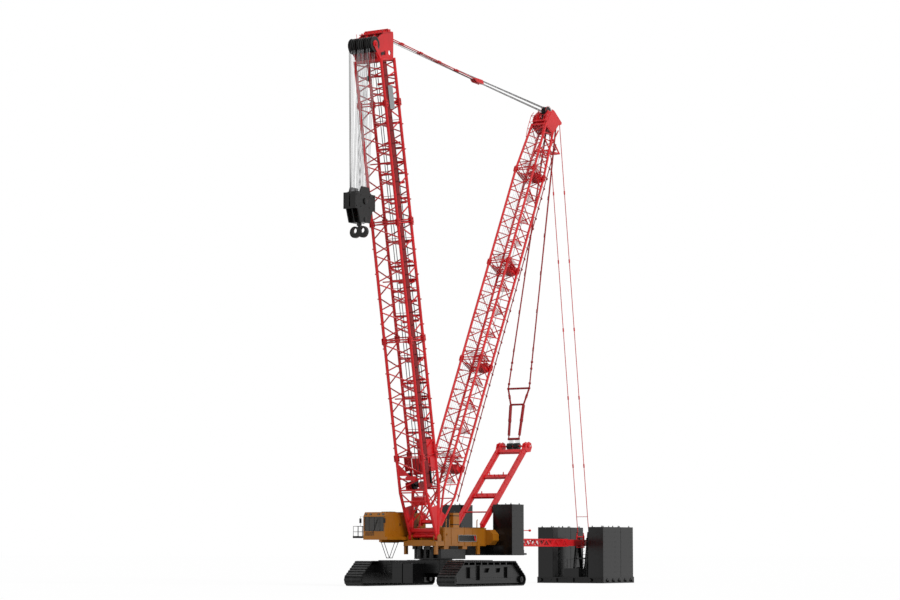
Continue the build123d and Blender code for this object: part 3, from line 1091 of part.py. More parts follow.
# ---------------------------------------------------------------- write every node
def main():
    """Writes one STEP file per node."""
    for name, side in SIDES.items():
        save(f"{name}_track", track(side))
        save(f"{name}_track_wheels", *track_wheels(side))
        save(f"{name}_track_frame", track_frame(side))
        save(f"{name}_rear_weight", rear_weight(side))
        save(f"{name}_tray_weight", *tray_weight(side))
    save("carbody", carbody())
    save("carbody_weights", *carbody_weights())
    save("slew_table", slew_table())
    save("main_frame", joined([main_frame()] + drum_shafts()))
    save("side_platform", side_platform())
    save("railing", railing())
    for name, panel in cab_panels().items():
        save(name, panel)
    save("cab_glass", cab_glass())
    save("cab_door", cab_door())
    save("cab_seat", *cab_seat())
    save("power_house", power_house())
    save("deck_tank", deck_tank())
    save("access_frame", access_frame())
    save("weight_carrier", weight_carrier())
    save("guide_beam", guide_beam())
    save("gantry", gantry())
    save("gantry_sheaves", *gantry_sheaves())
    for name, x, z, radius in DRUMS:
        save(name, drum(x, z, radius))
    save("boom_base", BOOM * boom_base())
    insert = boom_insert()
    for i in range(BOOM_INSERTS):
        save(f"boom_section_{i + 1}", BOOM * Pos(0, 0, BOOM_BASE_END + i * BOOM_INSERT) * insert)
    save("boom_head", BOOM * boom_head())
    save("boom_sheaves", *[BOOM * s for s in boom_sheaves()])
    save("limit_weight", limit_weight())
    save("hook_block", hook_block())
    save("hook_sheaves", *hook_sheaves())
    save("hook", hook())
    save("mast_base", MAST * mast_base())
    insert = mast_insert()
    for i in range(MAST_INSERTS):
        save(f"mast_section_{i + 1}", MAST * Pos(0, 0, MAST_BASE_END + i * MAST_INSERT) * insert)
    save("mast_head", MAST * mast_head())
    save("mast_sheaves", *[MAST * s for s in mast_sheaves()])
    save("boom_stay", boom_stay())
    save("mast_stay", mast_stay())
    save("tail_stay", tail_stay())
    save("tray_base", tray_base())
    save("tray_centre", tray_centre())
    save("beam_slide", beam_slide())


main()
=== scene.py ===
"""Lattice-boom crawler crane: finishes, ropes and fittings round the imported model, then light and camera.

Metres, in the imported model's frame: +X to the front, +Y to the left, +Z up, origin on the ground under the
slewing axis.
"""
import json
import logging
import math
from dataclasses import dataclass, field
from enum import Enum
from typing import Iterable, Sequence

import bpy
from mathutils import Matrix, Vector


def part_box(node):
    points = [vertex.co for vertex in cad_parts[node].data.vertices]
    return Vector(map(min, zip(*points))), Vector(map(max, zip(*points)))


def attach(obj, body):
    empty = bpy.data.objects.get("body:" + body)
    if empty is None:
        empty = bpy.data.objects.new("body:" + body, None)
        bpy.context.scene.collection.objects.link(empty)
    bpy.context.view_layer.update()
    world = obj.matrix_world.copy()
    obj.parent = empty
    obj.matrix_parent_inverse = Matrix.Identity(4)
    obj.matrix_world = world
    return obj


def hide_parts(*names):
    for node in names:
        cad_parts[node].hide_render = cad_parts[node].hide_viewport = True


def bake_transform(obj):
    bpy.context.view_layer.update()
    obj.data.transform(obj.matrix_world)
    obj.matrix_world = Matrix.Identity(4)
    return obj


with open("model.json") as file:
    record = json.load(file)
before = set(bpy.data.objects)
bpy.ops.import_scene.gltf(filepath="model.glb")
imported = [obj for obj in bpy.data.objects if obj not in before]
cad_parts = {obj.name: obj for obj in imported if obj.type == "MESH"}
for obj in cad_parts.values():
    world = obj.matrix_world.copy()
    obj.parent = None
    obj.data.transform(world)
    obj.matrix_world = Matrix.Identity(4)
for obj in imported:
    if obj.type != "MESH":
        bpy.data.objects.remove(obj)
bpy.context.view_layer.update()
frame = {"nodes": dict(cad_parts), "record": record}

log = logging.getLogger("crane")

Colour = tuple[float, float, float]
Point = Sequence[float]

SIDES = (1.0, -1.0)
BOLT_SIDES = 6
SMOOTH_DEGREES = 38.0
NO_PLACE = Matrix.Identity(4)
AHEAD, LEFT, UP = Vector((1, 0, 0)), Vector((0, 1, 0)), Vector((0, 0, 1))


# ---------------------------------------------------------------- mesh kit
@dataclass
class Piece:
    """One named mesh while it is being made.

    Attributes:
        name: Name of the finished object.
        points: Corners so far, in metres.
        faces: Faces so far, as corner numbers.
    """

    name: str
    points: list[Vector] = field(default_factory=list)
    faces: list[tuple[int, ...]] = field(default_factory=list)

    def ring(self, centre: Vector, across: Vector, up: Vector, radius: float, sides: int) -> list[int]:
        """Adds a ring of corners.

        Args:
            centre: Middle of the ring.
            across: Unit direction of its first corner.
            up: Unit direction a quarter turn on.
            radius: Radius of the corners.
            sides: How many corners.

        Returns:
            The corners' numbers in order.
        """
        first = len(self.points)
        self.points += circle(centre, across, up, radius, sides)
        return list(range(first, first + sides))

    def bridge(self, low: list[int], high: list[int]) -> None:
        """Joins two rings of equal count with quads.

        Args:
            low: Corner numbers of the first ring.
            high: Corner numbers of the second ring.
        """
        count = len(low)
        for k in range(count):
            after = (k + 1) % count
            self.faces.append((low[k], low[after], high[after], high[k]))

    def skin(self, rings: list[list[int]]) -> None:
        """Joins rings in order and closes both ends.

        Args:
            rings: Corner numbers of each ring.
        """
        for low, high in zip(rings, rings[1:]):
            self.bridge(low, high)
        self.faces += [tuple(reversed(rings[0])), tuple(rings[-1])]

    def tube(self, a: Point, b: Point, radius: float, sides: int = 8,
             end_radius: float | None = None) -> None:
        """Adds a closed round bar.

        Args:
            a: Middle of its first end.
            b: Middle of its last end.
            radius: Radius at the first end.
            sides: How many sides it has.
            end_radius: Radius at the last end, if it tapers.
        """
        start, end = Vector(a), Vector(b)
        across, up = square_to(end - start)
        last = radius if end_radius is None else end_radius
        self.skin([self.ring(start, across, up, radius, sides), self.ring(end, across, up, last, sides)])

    def run(self, route: Sequence[Point], radius: float, sides: int = 8) -> None:
        """Adds one bar that follows a route with mitred corners.

        Args:
            route: Points along its middle.
            radius: Radius of the bar.
            sides: How many sides it has.
        """
        line = [Vector(p) for p in route]
        across, up = square_to(line[1] - line[0])
        rings = []
        for k, point in enumerate(line):
            before = line[max(k - 1, 0)]
            after = line[min(k + 1, len(line) - 1)]
            along = (after - before).normalized()
            across = (across - along * across.dot(along)).normalized()
            up = along.cross(across)
            rings.append(self.ring(point, across, up, radius, sides))
        self.skin(rings)

    def prism(self, outline: Sequence[Point], low: float, high: float, place: Matrix = NO_PLACE) -> None:
        """Adds an outline in XY drawn up from low to high.

        Args:
            outline: Corners, anticlockwise seen from above.
            low: Height of the bottom.
            high: Height of the top.
            place: Where the prism's own axes lie.
        """
        first, count = len(self.points), len(outline)
        for z in (low, high):
            self.points += [place @ Vector((x, y, z)) for x, y in outline]
        bottom = list(range(first, first + count))
        self.skin([bottom, [k + count for k in bottom]])

    def block(self, low: Point, high: Point, place: Matrix = NO_PLACE) -> None:
        """Adds a box between two opposite corners.

        Args:
            low: One corner.
            high: The corner across from it.
            place: Where the box's own axes lie.
        """
        (x0, x1), (y0, y1), (z0, z1) = (sorted(pair) for pair in zip(low, high))
        self.prism([(x0, y0), (x1, y0), (x1, y1), (x0, y1)], z0, z1, place)

    def bolt(self, at: Point, way: Point, radius: float, height: float) -> None:
        """Adds a hexagon head that stands on a face.

        Args:
            at: Middle of its foot.
            way: Direction it stands in.
            radius: Radius over its corners.
            height: Height of the head.
        """
        foot = Vector(at)
        self.tube(foot, foot + Vector(way).normalized() * height, radius, BOLT_SIDES)

    def lathe(self, profile: Sequence[Point], centre: Point, way: Point, sides: int = 24) -> None:
        """Adds a turned shape.

        Args:
            profile: Pairs of distance along the axis and radius, from end to end.
            centre: Origin of the axis.
            way: Direction of the axis.
            sides: How many sides it has.
        """
        axis = Vector(way).normalized()
        across, up = square_to(axis)
        self.skin([self.ring(Vector(centre) + axis * d, across, up, r, sides) for d, r in profile])

    def build(self, finish: "Finish", body: str | None, bevel: float = 0.0,
              slot: "Slot | None" = None) -> bpy.types.Object:
        """Turns the corners and faces into an object that rides on a body.

        Args:
            finish: Finish it gets.
            body: Body it moves with, or None to leave it on no body.
            bevel: Width of its rounded edges, or 0 for none.
            slot: Not used; the record's material slot it stands for, if it isn't the finish's own.

        Returns:
            The object.
        """
        mesh = bpy.data.meshes.new(self.name)
        mesh.from_pydata([tuple(p) for p in self.points], [], self.faces)
        mesh.materials.append(finish.material())
        thing = bpy.data.objects.new(self.name, mesh)
        bpy.context.scene.collection.objects.link(thing)
        if bevel:
            edge = thing.modifiers.new("edges", "BEVEL")
            edge.width, edge.segments, edge.limit_method = bevel, 2, "ANGLE"
            edge.harden_normals = False
        mesh.shade_smooth()
        mesh.set_sharp_from_angle(angle=math.radians(SMOOTH_DEGREES))
        if body:
            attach(thing, body)
        log.info("%s: %d faces on %s", self.name, len(self.faces), body or "two bodies")
        return thing


def circle(centre: Point, across: Vector, up: Vector, reach: float, count: int) -> list[Vector]:
    """Points evenly spaced round a circle.

    Args:
        centre: Middle of the circle.
        across: Unit direction of its first point.
        up: Unit direction a quarter turn on.
        reach: Radius of the circle.
        count: How many points.

    Returns:
        The points in order.
    """
    turns = [math.tau * k / count for k in range(count)]
    return [Vector(centre) + (across * math.cos(turn) + up * math.sin(turn)) * reach for turn in turns]


def turned(degrees: float) -> Vector:
    """Unit direction in the XZ plane, turned up from ahead by an angle."""
    return AHEAD * math.cos(math.radians(degrees)) + UP * math.sin(math.radians(degrees))


def rim(low: Point, high: Point, width: float) -> list[tuple[Point, Point]]:
    """Flat bars round an opening: below it, above it and at both sides.

    Args:
        low: The opening's lowest corner in its own plane.
        high: Its highest corner.
        width: Width of the bars.

    Returns:
        The lowest and highest corner of each bar.
    """
    (u0, v0), (u1, v1) = low, high
    return [((u0 - width, v0 - width), (u1 + width, v0)), ((u0 - width, v1), (u1 + width, v1 + width)),
            ((u0 - width, v0), (u0, v1)), ((u1, v0), (u1 + width, v1))]


def square_to(along: Vector) -> tuple[Vector, Vector]:
    """Two unit directions square to a direction and to each other.

    Args:
        along: The direction.

    Returns:
        Both directions, in right-handed order with it.
    """
    axis = along.normalized()
    helper = Vector((0, 0, 1)) if abs(axis.z) < 0.9 else Vector((0, 1, 0))
    across = helper.cross(axis).normalized()
    return across, axis.cross(across)


def mix(a: Point, b: Point, part: float) -> Vector:
    """Point a share of the way from a to b.

    Args:
        a: Where it starts.
        b: Where it ends.
        part: The share, from 0 to 1.

    Returns:
        The point.
    """
    return Vector(a).lerp(Vector(b), part)


# ---------------------------------------------------------------- finishes
class Slot(Enum):
    """The record's material slots."""

    RED = "frame_red"
    YELLOW = "body_yellow"
    CHASSIS = "chassis_black"
    WEIGHT = "weight_grey"
    TRACK = "track_steel"
    SHEAVE = "sheave_black"
    ROPE = "rope_red"
    GLASS = "glass"
    SEAT = "seat_black"


def settle(node: bpy.types.Node, values: dict[str, object]) -> None:
    """Sets a node's inputs by their names."""
    for name, value in values.items():
        node.inputs[name].default_value = value


class Shader:
    """Adds and links the nodes of one material."""

    def __init__(self, name: str) -> None:
        """Starts an empty material.

        Args:
            name: Name of the material.
        """
        self.material = bpy.data.materials.new(name)
        self.material.use_nodes = True
        self.tree = self.material.node_tree
        self.tree.nodes.clear()
        self.surface = self.add("ShaderNodeBsdfPrincipled")
        out = self.add("ShaderNodeOutputMaterial")
        self.link(self.surface, "BSDF", out, "Surface")
        self.place = self.add("ShaderNodeTexCoord")

    def add(self, kind: str, **values: object) -> bpy.types.Node:
        """Adds a node.

        Args:
            kind: Type of the node.
            **values: Its settings by attribute name.

        Returns:
            The node.
        """
        node = self.tree.nodes.new(kind)
        for name, value in values.items():
            setattr(node, name, value)
        return node

    def link(self, source: bpy.types.Node, output: str | int, target: bpy.types.Node,
             socket: str | int) -> None:
        """Links one node's output to another's input."""
        self.tree.links.new(source.outputs[output], target.inputs[socket])

    def coat(self, colour: bpy.types.Node, rough: bpy.types.Node | None = None, **values: float) -> None:
        """Gives the surface its colour, its roughness and its plain settings.

        Args:
            colour: Mix node that holds the colour.
            rough: Node that holds the roughness, if it varies.
            **values: Plain settings by input name, with underscores for spaces.
        """
        self.link(colour, 2, self.surface, "Base Color")
        if rough:
            self.link(rough, 0, self.surface, "Roughness")
        settle(self.surface, {name.replace("_", " "): value for name, value in values.items()})

    def noise(self, scale: float, detail: float = 3.0, stretch: Point = (1, 1, 1)) -> bpy.types.Node:
        """Adds a noise in the object's own metres.

        Args:
            scale: How fine it is, in waves a metre.
            detail: How many finer layers it has.
            stretch: How each axis is scaled first.

        Returns:
            The noise node.
        """
        shift, node = self.add("ShaderNodeMapping"), self.add("ShaderNodeTexNoise")
        settle(shift, {"Scale": tuple(stretch)})
        settle(node, {"Scale": scale, "Detail": detail})
        self.link(self.place, "Object", shift, "Vector")
        self.link(shift, "Vector", node, "Vector")
        return node

    def span(self, source: bpy.types.Node, output: str, low: float, high: float,
             start: float = 0.3, end: float = 0.7) -> bpy.types.Node:
        """Spreads a value over a range.

        Args:
            source: Node that gives the value.
            output: Which of its outputs.
            low: Result at start.
            high: Result at end.
            start: Where the range begins.
            end: Where the range ends.

        Returns:
            The node that holds the result.
        """
        node = self.add("ShaderNodeMapRange")
        settle(node, {"From Min": start, "From Max": end, "To Min": low, "To Max": high})
        self.link(source, output, node, "Value")
        return node

    def blend(self, share: bpy.types.Node, first: Colour | bpy.types.Node, second: Colour) -> bpy.types.Node:
        """Mixes two colours by a share.

        Args:
            share: Node whose first output is the share.
            first: Colour or node at 0.
            second: Colour at 1.

        Returns:
            The mix node, its colour at output 2.
        """
        node = self.add("ShaderNodeMix", data_type="RGBA")
        self.link(share, 0, node, 0)
        if isinstance(first, tuple):
            node.inputs[6].default_value = (*first, 1)
        else:
            self.link(first, 2, node, 6)
        node.inputs[7].default_value = (*second, 1)
        return node

    def bump(self, source: bpy.types.Node, output: str, strength: float, depth: float) -> None:
        """Raises the surface by a value.

        Args:
            source: Node that gives the height.
            output: Which of its outputs.
            strength: Share of the effect.
            depth: Height of a full wave, in metres.
        """
        node = self.add("ShaderNodeBump")
        settle(node, {"Strength": strength, "Distance": depth})
        self.link(source, output, node, "Height")
        self.link(node, "Normal", self.surface, "Normal")


MUD: Colour = (0.012, 0.010, 0.008)
GLASS_DUST: Colour = (0.11, 0.10, 0.09)


def shade(colour: Colour, factor: float) -> Colour:
    """A colour made lighter or darker by a factor."""
    return tuple(min(part * factor, 1.0) for part in colour)


@dataclass(frozen=True)
class Finish:
    """A surface finish that makes its material once.

    Attributes:
        name: Name of its material.
        slot: The record's material slot it stands for.
        colour: Base colour, linear.
    """

    name: str
    slot: Slot
    colour: Colour

    def material(self) -> bpy.types.Material:
        """The finish's material, made on first use."""
        known = bpy.data.materials.get(self.name)
        return known or self.dress()

    def dress(self) -> bpy.types.Material:
        """Makes the material; each finish has its own way."""
        raise NotImplementedError


@dataclass(frozen=True)
class Enamel(Finish):
    """Sprayed enamel on steel, with a slow drift of shade, rain streaks and road dust.

    Attributes:
        rough: Middle roughness.
        shine: Its specular level.
        drift: How far its shade drifts.
        streak: How dark its rain streaks get.
        dust: Colour of the dust that dulls it.
        dusting: How much dust lies on it.
    """

    rough: float = 0.32
    shine: float = 0.22
    drift: float = 0.10
    streak: float = 0.16
    dust: Colour = (0.20, 0.16, 0.12)
    dusting: float = 0.10

    def dress(self) -> bpy.types.Material:
        """Makes the enamel.

        Returns:
            The finished material.
        """
        paint = Shader(self.name)
        slow = paint.span(paint.noise(scale=0.7, detail=2), "Fac", 0, 1)
        base = paint.blend(slow, shade(self.colour, 1 - self.drift), shade(self.colour, 1 + self.drift))
        runs = paint.noise(scale=5, detail=3, stretch=(1, 1, 0.12))
        rain = paint.span(runs, "Fac", 0, self.streak, 0.52, 0.78)
        wet = paint.blend(rain, base, shade(self.colour, 0.35))
        specks = paint.span(paint.noise(scale=2.6, detail=6), "Fac", 0, self.dusting, 0.45, 0.75)
        gloss = paint.span(paint.noise(scale=9, detail=4), "Fac", self.rough - 0.03, self.rough + 0.05)
        paint.coat(paint.blend(specks, wet, self.dust), gloss, Specular_IOR_Level=self.shine)
        paint.bump(paint.noise(scale=60, detail=2), "Fac", 0.03, 0.001)
        return paint.material


@dataclass(frozen=True)
class CastSteel(Finish):
    """Dark cast or rolled steel, polished where it runs and dull in its pits.

    Attributes:
        rough: Middle roughness.
        worn: Colour where it has been rubbed bright.
        wear: How much of it is rubbed.
    """

    rough: float = 0.5
    worn: Colour = (0.16, 0.155, 0.15)
    wear: float = 0.35

    def dress(self) -> bpy.types.Material:
        """Makes the steel.

        Returns:
            The finished material.
        """
        steel = Shader(self.name)
        rubbed = steel.span(steel.noise(scale=7, detail=6), "Fac", 0, self.wear, 0.48, 0.72)
        base = steel.blend(rubbed, self.colour, self.worn)
        mud = steel.span(steel.noise(scale=1.8, detail=5), "Fac", 0, 0.30, 0.50, 0.80)
        gloss = steel.span(steel.noise(scale=14, detail=5), "Fac", self.rough - 0.12, self.rough + 0.14)
        steel.coat(steel.blend(mud, base, MUD), gloss, Metallic=0.0, Specular_IOR_Level=0.28)
        steel.bump(steel.noise(scale=45, detail=6), "Fac", 0.22, 0.003)
        return steel.material


@dataclass(frozen=True)
class WireRope(Finish):
    """Greased wire rope whose strands show as slanting bands of painted shade in the grooves and painted
    highlight on the crowns.

    Attributes:
        lay: Bands a metre along the rope.
    """

    lay: float = 26.0

    def dress(self) -> bpy.types.Material:
        """Makes the rope.

        Returns:
            The finished material.
        """
        rope = Shader(self.name)
        wave = rope.add("ShaderNodeTexWave", bands_direction="DIAGONAL")
        settle(wave, {"Scale": self.lay})
        rope.link(rope.place, "Object", wave, "Vector")
        # Painted shade darkens the grooves between strands and a painted highlight lightens their crowns;
        # the same wave also raises them.
        painted_groove_shade = rope.span(wave, "Fac", 0, 1, 0.1, 0.9)
        strands_shade_and_highlight = rope.blend(painted_groove_shade, shade(self.colour, 0.35), shade(self.colour, 1.3))
        grease = rope.span(rope.noise(scale=3, detail=4), "Fac", 0, 0.5, 0.45, 0.8)
        rope.coat(rope.blend(grease, strands_shade_and_highlight, shade(self.colour, 0.5)), Metallic=0.6, Roughness=0.42)
        rope.bump(wave, "Fac", 0.5, 0.004)
        return rope.material


@dataclass(frozen=True)
class TintedGlass(Finish):
    """Dark tinted safety glass with a film of dust."""

    def dress(self) -> bpy.types.Material:
        """Makes the glass.

        Returns:
            The finished material.
        """
        glass = Shader(self.name)
        film = glass.span(glass.noise(scale=3.5, detail=5), "Fac", 0, 0.25, 0.4, 0.8)
        gloss = glass.span(glass.noise(scale=2.2, detail=3), "Fac", 0.04, 0.14)
        glass.coat(glass.blend(film, self.colour, GLASS_DUST), gloss, IOR=1.52, Transmission_Weight=0.25)
        return glass.material


@dataclass(frozen=True)
class Moulded(Finish):
    """Grained black plastic or rubber.

    Attributes:
        grain: Grains a metre.
    """

    grain: float = 90.0

    def dress(self) -> bpy.types.Material:
        """Makes the plastic.

        Returns:
            The finished material.
        """
        skin = Shader(self.name)
        tone = skin.span(skin.noise(scale=6, detail=4), "Fac", 0, 1)
        gloss = skin.span(skin.noise(scale=20, detail=3), "Fac", 0.45, 0.7)
        skin.coat(skin.blend(tone, shade(self.colour, 0.75), shade(self.colour, 1.4)), gloss)
        cells = skin.add("ShaderNodeTexVoronoi")
        settle(cells, {"Scale": self.grain})
        skin.link(skin.place, "Object", cells, "Vector")
        skin.bump(cells, "Distance", 0.25, 0.002)
        return skin.material


RED = Enamel("red_enamel", Slot.RED, (0.56, 0.008, 0.012), rough=0.34, shine=0.34, dusting=0.01)
STAY_RED = Enamel("stay_enamel", Slot.ROPE, (0.26, 0.005, 0.008), rough=0.45, dusting=0.02)
TRAY_RED = Enamel("tray_enamel", Slot.RED, (0.19, 0.007, 0.009), rough=0.5, dusting=0.02)
YELLOW = Enamel("yellow_enamel", Slot.YELLOW, (0.30, 0.105, 0.004), rough=0.30, shine=0.35, dusting=0.02)
BLACK = Enamel("chassis_enamel", Slot.CHASSIS, (0.0022, 0.0022, 0.0023), rough=0.26, shine=0.30,
               drift=0.2, dusting=0.004)
GREY = Enamel("weight_enamel", Slot.WEIGHT, (0.0022, 0.0022, 0.0023), rough=0.18, shine=0.33,
              drift=0.06, streak=0.06, dusting=0.002)
TRACK = CastSteel("track_casting", Slot.TRACK, (0.0035, 0.0035, 0.0036), rough=0.34,
                  worn=(0.016, 0.016, 0.016))
SHOE = CastSteel("shoe_casting", Slot.TRACK, (0.004, 0.004, 0.004), rough=0.30,
                 worn=(0.05, 0.05, 0.05), wear=0.5)
SHEAVE = CastSteel("sheave_casting", Slot.SHEAVE, (0.003, 0.003, 0.003), rough=0.34,
                   worn=(0.014, 0.014, 0.014), wear=0.25)
ROPE = WireRope("wire_rope", Slot.SHEAVE, (0.36, 0.36, 0.37))
DARK_ROPE = WireRope("dark_rope", Slot.SHEAVE, (0.020, 0.016, 0.018))
STEEL = CastSteel("bare_steel", Slot.SHEAVE, (0.30, 0.30, 0.30), rough=0.35, worn=(0.45, 0.45, 0.44))
SIGN_GREY = Enamel("sign_enamel", Slot.WEIGHT, (0.27, 0.28, 0.29), rough=0.45)
WEIGHT_STEEL = CastSteel("weight_steel", Slot.WEIGHT, (0.012, 0.012, 0.012),
                         worn=(0.04, 0.04, 0.04), wear=0.2)
LAMP = TintedGlass("lamp_glass", Slot.GLASS, (0.16, 0.15, 0.13))
GLASS = TintedGlass("tinted_glass", Slot.GLASS, (0.022, 0.018, 0.014))
# Matt black for the tray stacks' real joints and for a strip of painted shade beside each front stack.
JOINT_AND_PAINTED_SHADE = Moulded("joint_and_painted_shade_black", Slot.WEIGHT, (0.0012, 0.0012, 0.0012))
RUBBER = Moulded("black_moulding", Slot.SEAT, (0.010, 0.010, 0.010))

SLOT_FINISH = {Slot.RED: RED, Slot.YELLOW: YELLOW, Slot.CHASSIS: BLACK, Slot.WEIGHT: GREY, Slot.TRACK: TRACK,
               Slot.SHEAVE: SHEAVE, Slot.ROPE: STAY_RED, Slot.GLASS: GLASS, Slot.SEAT: RUBBER}
NODE_FINISH = {"boom_stay": RED, "tail_stay": RED}


# ---------------------------------------------------------------- the model's own places
def joint_place(name: str) -> Vector:
    """Where a joint's axis lies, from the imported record.

    Args:
        name: Name of the joint.

    Returns:
        The middle of the axis, in metres.
    """
    for joint in frame["record"]["behaviour"]["joints"]:
        if joint["name"] == name:
            return Vector(joint["pos_m"])
    raise KeyError(name)


@dataclass(frozen=True)
class Leaning:
    """Axes of a lattice that leans from its foot.

    Attributes:
        foot: Middle of its foot pin.
        lean: Degrees forward of upright.
    """

    foot: Vector
    lean: float

    def place(self) -> Matrix:
        """From its own axes, with Z along the lattice, to the model's."""
        return Matrix.Translation(self.foot) @ Matrix.Rotation(math.radians(self.lean), 4, "Y")

    def at(self, ahead: float, left: float, along: float) -> Vector:
        """A point given by its distances ahead, left and along the lattice."""
        return self.place() @ Vector((ahead, left, along))


# ---------------------------------------------------------------- undercarriage
ARC_STEPS, ROLLER_PITCH = 12, 0.37
# Plate and two grousers of a shoe: start and end as shares of half a pitch, inset, foot and top.
SHOE_PARTS = ((-1.0, 1.0, 0.0, -0.058, -0.030), (-0.55, 0.35, 0.01, -0.032, 0.0),
              (0.70, 0.95, 0.03, -0.032, -0.012))
# Rows of a link's plates and, from them, of its bolts.
LINK_ROWS, LINK_BOLTS = (-0.235, 0.185), (-0.035, 0.085)
HUB_RING = ((-0.04, 0.15), (0.0, 0.15), (0.008, 0.12), (0.008, 0.07), (0.03, 0.06), (0.034, 0.03))
GREASE_COVER = ((-0.02, 0.075), (0.01, 0.075), (0.02, 0.05), (0.035, 0.045), (0.038, 0.015))


@dataclass
class Crawler:
    """One crawler: a chain of shoes on its links, and the fittings of its frame.

    Attributes:
        side: 1 for the left crawler, -1 for the right one.
        length: Length over the shoes.
        gauge: Distance between the crawlers' middles.
        width: Width of a shoe.
        end_radius: Outside radius round the end wheels.
        top_radius: Outside radius over the top guides.
        top_run: Distance between the top guides.
        height: Height over the shoes.
        shoes: Number of shoes.
    """

    side: float
    length: float = 6.5
    gauge: float = 5.22
    width: float = 0.99
    end_radius: float = 0.30
    top_radius: float = 0.16
    top_run: float = 4.5
    height: float = 1.19
    shoes: int = 76

    def build(self) -> None:
        """Makes the chain and the frame's fittings."""
        self.chain()
        self.fittings()

    def loop(self) -> list[tuple[Vector, Vector]]:
        """Outer line of the chain.

        Returns:
            Pairs of place and unit direction along the line, evenly spaced, one for each shoe.
        """
        end = self.length / 2 - self.end_radius
        top = self.height - self.top_radius
        wheels = [(-end, self.end_radius, self.end_radius), (end, self.end_radius, self.end_radius),
                  (self.top_run / 2, top, self.top_radius), (-self.top_run / 2, top, self.top_radius)]
        line: list[Vector] = []
        for k, (x, z, r) in enumerate(wheels):
            before, after = wheels[k - 1], wheels[(k + 1) % 4]
            start, stop = outer_turn(before, (x, z, r)), outer_turn((x, z, r), after)
            if stop < start:
                stop += math.tau
            for step in range(ARC_STEPS + 1):
                turn = start + (stop - start) * step / ARC_STEPS
                line.append(Vector((x + r * math.cos(turn), 0, z + r * math.sin(turn))))
        line.append(line[0])
        lengths = [(b - a).length for a, b in zip(line, line[1:])]
        pitch = sum(lengths) / self.shoes
        places, walked, k = [], 0.0, 0
        for shoe in range(self.shoes):
            wanted = (shoe + 0.5) * pitch
            while walked + lengths[k] < wanted:
                walked += lengths[k]
                k += 1
            part = (wanted - walked) / lengths[k]
            places.append((line[k].lerp(line[k + 1], part), (line[k + 1] - line[k]).normalized()))
        return places

    def chain(self) -> None:
        """Shoes with two grousers each, and the two rows of links that carry them."""
        name = "left" if self.side > 0 else "right"
        places = self.loop()
        pitch = (places[1][0] - places[0][0]).length
        half, middle = self.width / 2, self.side * self.gauge / 2
        shoes, links = Piece(f"{name}_track_shoes"), Piece(f"{name}_track_links")
        run = pitch * 0.44
        for place, along in places:
            out = Vector((along.z, 0, -along.x))
            axes = Matrix.Translation(place + LEFT * middle) @ frame_of(along, -LEFT, out)
            for start, end, inset, foot, top in SHOE_PARTS:
                shoes.block((run * start, inset - half, foot), (run * end, half - inset, top), axes)
            for lug in (-half + 0.02, half - 0.06):
                shoes.block((-run * 0.8, lug, -0.055), (run * 0.8, lug + 0.04, -0.030), axes)
            for row in LINK_ROWS:
                links.block((-run * 1.05, row, -0.069), (run * 0.7, row + 0.05, -0.040), axes)
                for bolt in LINK_BOLTS:
                    links.bolt(axes @ Vector((run * 0.52, row + bolt, -0.030)), out, 0.012, 0.010)
            links.block((-run * 0.3, -0.05, -0.069), (run * 0.3, 0.05, -0.040), axes)
        chain = shoes.build(SHOE, "undercarriage")
        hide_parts(f"{name}_track")
        links.build(TRACK, "undercarriage")

    def fittings(self) -> None:
        """Bolt rows, hub rings and grease covers on the outer face of the frame."""
        name = "left" if self.side > 0 else "right"
        low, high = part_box(f"{name}_track_frame")
        face = high.y if self.side > 0 else low.y
        way = LEFT * self.side
        bolts = Piece(f"{name}_frame_bolts")
        inset, pitch = 0.05, 0.08
        for middle, reach, top in ((-0.18, 1.07, 0.95), (1.545, 0.215, 0.87), (-1.85, 0.25, 0.87)):
            for z in (0.40, top):
                count = max(int(reach / pitch), 3)
                for k in range(count):
                    x = middle - reach + inset + 2 * (reach - inset) * k / (count - 1)
                    bolts.bolt((x, face, z), way, 0.014, 0.012)
        bolts.build(SHEAVE, "undercarriage", slot=Slot.CHASSIS)
        hubs = Piece(f"{name}_frame_hubs")
        for end in SIDES:
            centre = Vector((end * (self.length / 2 - self.end_radius), face, self.end_radius))
            hubs.lathe(HUB_RING, centre, way, 28)
            for spot in circle(centre, AHEAD, UP, 0.133, 10):
                hubs.bolt(spot, way, 0.011, 0.010)
        cover, row = self.side * (self.gauge / 2 + 0.185), self.side * (self.gauge / 2 + 0.32)
        for k in range(-6, 7):
            x = k * ROLLER_PITCH
            hubs.lathe(GREASE_COVER, (x, cover, 0.16), way, 16)
            hubs.bolt((x + 0.18, row, 0.31), way, 0.012, 0.012)
        hubs.build(SHEAVE, "undercarriage", slot=Slot.TRACK)


def outer_turn(first: Point, second: Point) -> float:
    """Angle of the outer tangent's normal between two wheels met anticlockwise.

    Args:
        first: The first wheel's x, z and radius.
        second: The second wheel's x, z and radius.

    Returns:
        The angle of the normal at the point of contact.
    """
    dx, dz = second[0] - first[0], second[1] - first[1]
    gap = math.hypot(dx, dz)
    return math.atan2(dz, dx) - math.acos(max(-1.0, min(1.0, (first[2] - second[2]) / gap)))


def frame_of(along: Vector, across: Vector, out: Vector) -> Matrix:
    """Rotation whose X, Y and Z axes are the three unit directions."""
    return Matrix((along, across, out)).transposed().to_4x4()


LIFTING_EYE = ((0, 0.035), (0.02, 0.035), (0.024, 0.018), (0.045, 0.018), (0.05, 0.028), (0.058, 0.02))


